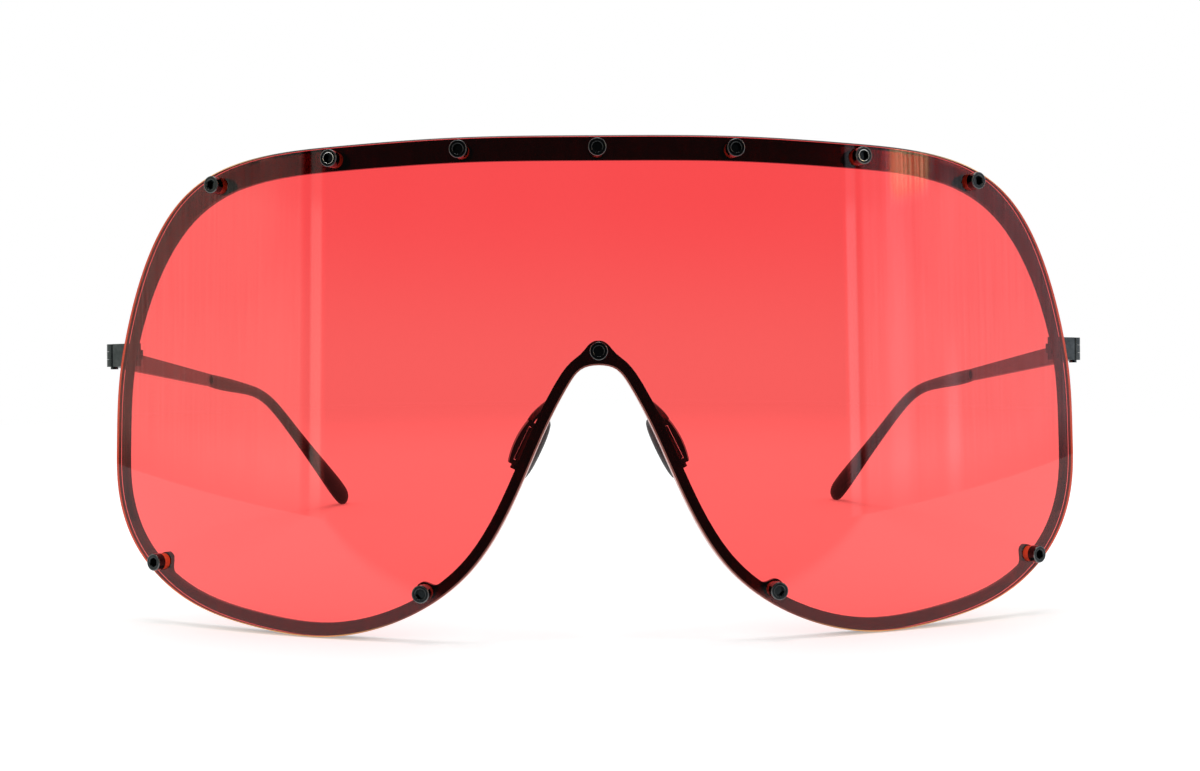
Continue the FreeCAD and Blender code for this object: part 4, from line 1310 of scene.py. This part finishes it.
@dataclass
class Studio:
    """White floor, soft light from above, two side cards, and the camera."""

    camera_place: Triple = (-3.7063 * MM, -308.2143 * MM, 54.6522 * MM)
    camera_ahead: Triple = (0.01621955, 0.99714164, -0.07379344)
    camera_up: Triple = (0.00739657, 0.07368147, 0.9972544)
    lens: float = 50.0
    sensor: float = 36.0
    clip: Flat = (0.005, 50.0)
    floor_half: float = 2.5
    floor_grain: float = 60.0
    floor_tones: tuple[Colour, Colour] = ((0.86, 0.86, 0.86), (0.88, 0.88, 0.88))
    floor_glow: float = 0.30
    room_glow: float = 0.06
    dark_floor: Flat = (0.085, 0.125)
    dark_spread: float = 0.9
    fade: Flat = (0.15, 0.34)
    room_edge: Flat = (-0.1, 0.3)
    ambient: float = 0.72
    top_power: float = 3.2
    top_size: Flat = (0.5, 0.4)
    top_place: Triple = (0.0, 0.05, 0.95)
    cards: tuple[Card, ...] = (
        Card(Side.LEFT, strip=(46.3, 48.2), wide=(49.3, 50.4), tint=(1.0, 0.97, 0.86),
             lamps=(CardLamp(start=51.0, end=58.0, low=0.1, high=0.2, below=0.1, above=0.1),)),
        Card(Side.RIGHT, strip=(43.5, 45.2), wide=(45.9, 46.8), tint=(1.0, 0.97, 1.05),
             lamps=(CardLamp(start=50.8, end=54.6, low=0.174, high=0.190, below=0.8, above=0.8),
                    CardLamp(start=51.9, end=58.5, low=0.168, high=0.190, below=0.0, above=3.8, brushed=True),
                    CardLamp(start=61.4, end=63.6, low=0.03, high=0.10, below=1.4, above=0.2, soft=0.9))),
    )

    def build(self) -> None:
        """Sets up the whole studio."""
        self.camera()
        self.world()
        self.floor()
        self.lamps()
        for card in self.cards:
            card.build()
        bpy.context.scene.view_settings.view_transform = "Standard"

    @staticmethod
    def seen(paint: Paint) -> tuple[Signal, Signal]:
        """Whether a ray comes straight, or only through clear pieces, and whether it was mirrored."""
        mirrored = paint.mirrored()
        return paint.ray(Ray.CAMERA, Ray.TRANSMISSION) * (1.0 - mirrored), mirrored

    def camera(self) -> None:
        """Places the camera where the photograph was taken from."""
        data = bpy.data.cameras.new("viewer")
        data.lens, data.sensor_width, data.sensor_fit = self.lens, self.sensor, "HORIZONTAL"
        data.clip_start, data.clip_end = self.clip
        viewer = put_in_scene(data)
        ahead, up = Vector(self.camera_ahead).normalized(), Vector(self.camera_up).normalized()
        axes = Matrix((ahead.cross(up), up, -ahead)).transposed().to_4x4()
        viewer.matrix_world = Matrix.Translation(self.camera_place) @ axes
        bpy.context.scene.camera = viewer

    def world(self) -> None:
        """White behind the object, a dark room in front of it, and even light all round."""
        world = bpy.data.worlds.new("studio")
        bpy.context.scene.world = world
        world.use_nodes = True
        world.node_tree.nodes.clear()
        paint = Paint(world.node_tree)
        where = paint.add("ShaderNodeTexCoord").outputs["Generated"]
        way = paint.add("ShaderNodeSeparateXYZ", {0: where}).outputs["Y"]
        room = Signal(paint, way).ramp(*self.room_edge, self.room_glow, 1.0)
        straight, mirrored = self.seen(paint)
        level = straight + (1.0 - straight) * (mirrored * room + (1.0 - mirrored) * self.ambient)
        shown = paint.add("ShaderNodeBackground", {"Color": WHITE, "Strength": level})
        paint.add("ShaderNodeOutputWorld", {"Surface": shown})

    def floor(self) -> None:
        """A white floor that keeps the object's shadow and turns plain white away from it."""
        corners = ((-1.0, -1.0), (1.0, -1.0), (1.0, 1.0), (-1.0, 1.0))
        points = [(x * self.floor_half, y * self.floor_half, 0.0) for x, y in corners]
        mesh = new_mesh("floor", points, [(0, 1, 2, 3)])
        paint, material = new_paint("floor_white")
        tone = paint.blend(paint.noise(paint.spot(), self.floor_grain, Layers.SOFT), *self.floor_tones)
        matt = paint.add("ShaderNodeBsdfDiffuse", {"Color": tone})
        near = paint.add("ShaderNodeAddShader", {0: matt, 1: paint.glow(self.floor_glow)})
        plain = paint.glow(1.0)
        reach = paint.add("ShaderNodeVectorMath", {0: paint.spot()}, operation="LENGTH")
        away = Signal(paint, reach.outputs["Value"]).ramp(*self.fade)
        straight, mirrored = self.seen(paint)
        ahead = paint.place("Y") * -1.0 - abs(paint.place("X")) * self.dark_spread
        glossy = paint.mix(ahead.ramp(*self.dark_floor), plain, paint.glow(self.room_glow))
        other = paint.mix(mirrored, matt, glossy)
        close_paint(paint, paint.mix(straight, other, paint.mix(away, near, plain)))
        mesh.materials.append(material)
        put_in_scene(mesh)

    def lamps(self) -> None:
        """A broad soft lamp above the object."""
        data = bpy.data.lights.new("soft_top", "AREA")
        data.shape, data.energy = "RECTANGLE", self.top_power
        data.size, data.size_y = self.top_size
        lamp = put_in_scene(data)
        lamp.location = self.top_place
        lamp.visible_camera = False
        lamp.visible_transmission = False


def main() -> None:
    """Builds the pieces in order."""
    logging.basicConfig(level=logging.INFO, format="%(message)s")
    Studio().build()
    shield = Shield()
    shield.build()
    screws = LensScrews(shield)
    screws.build_screws()
    screws.build_bushes()
    for side in Side:
        NosePad(side).build()
    Metalwork().dress()


if __name__ == "__main__":
    main()
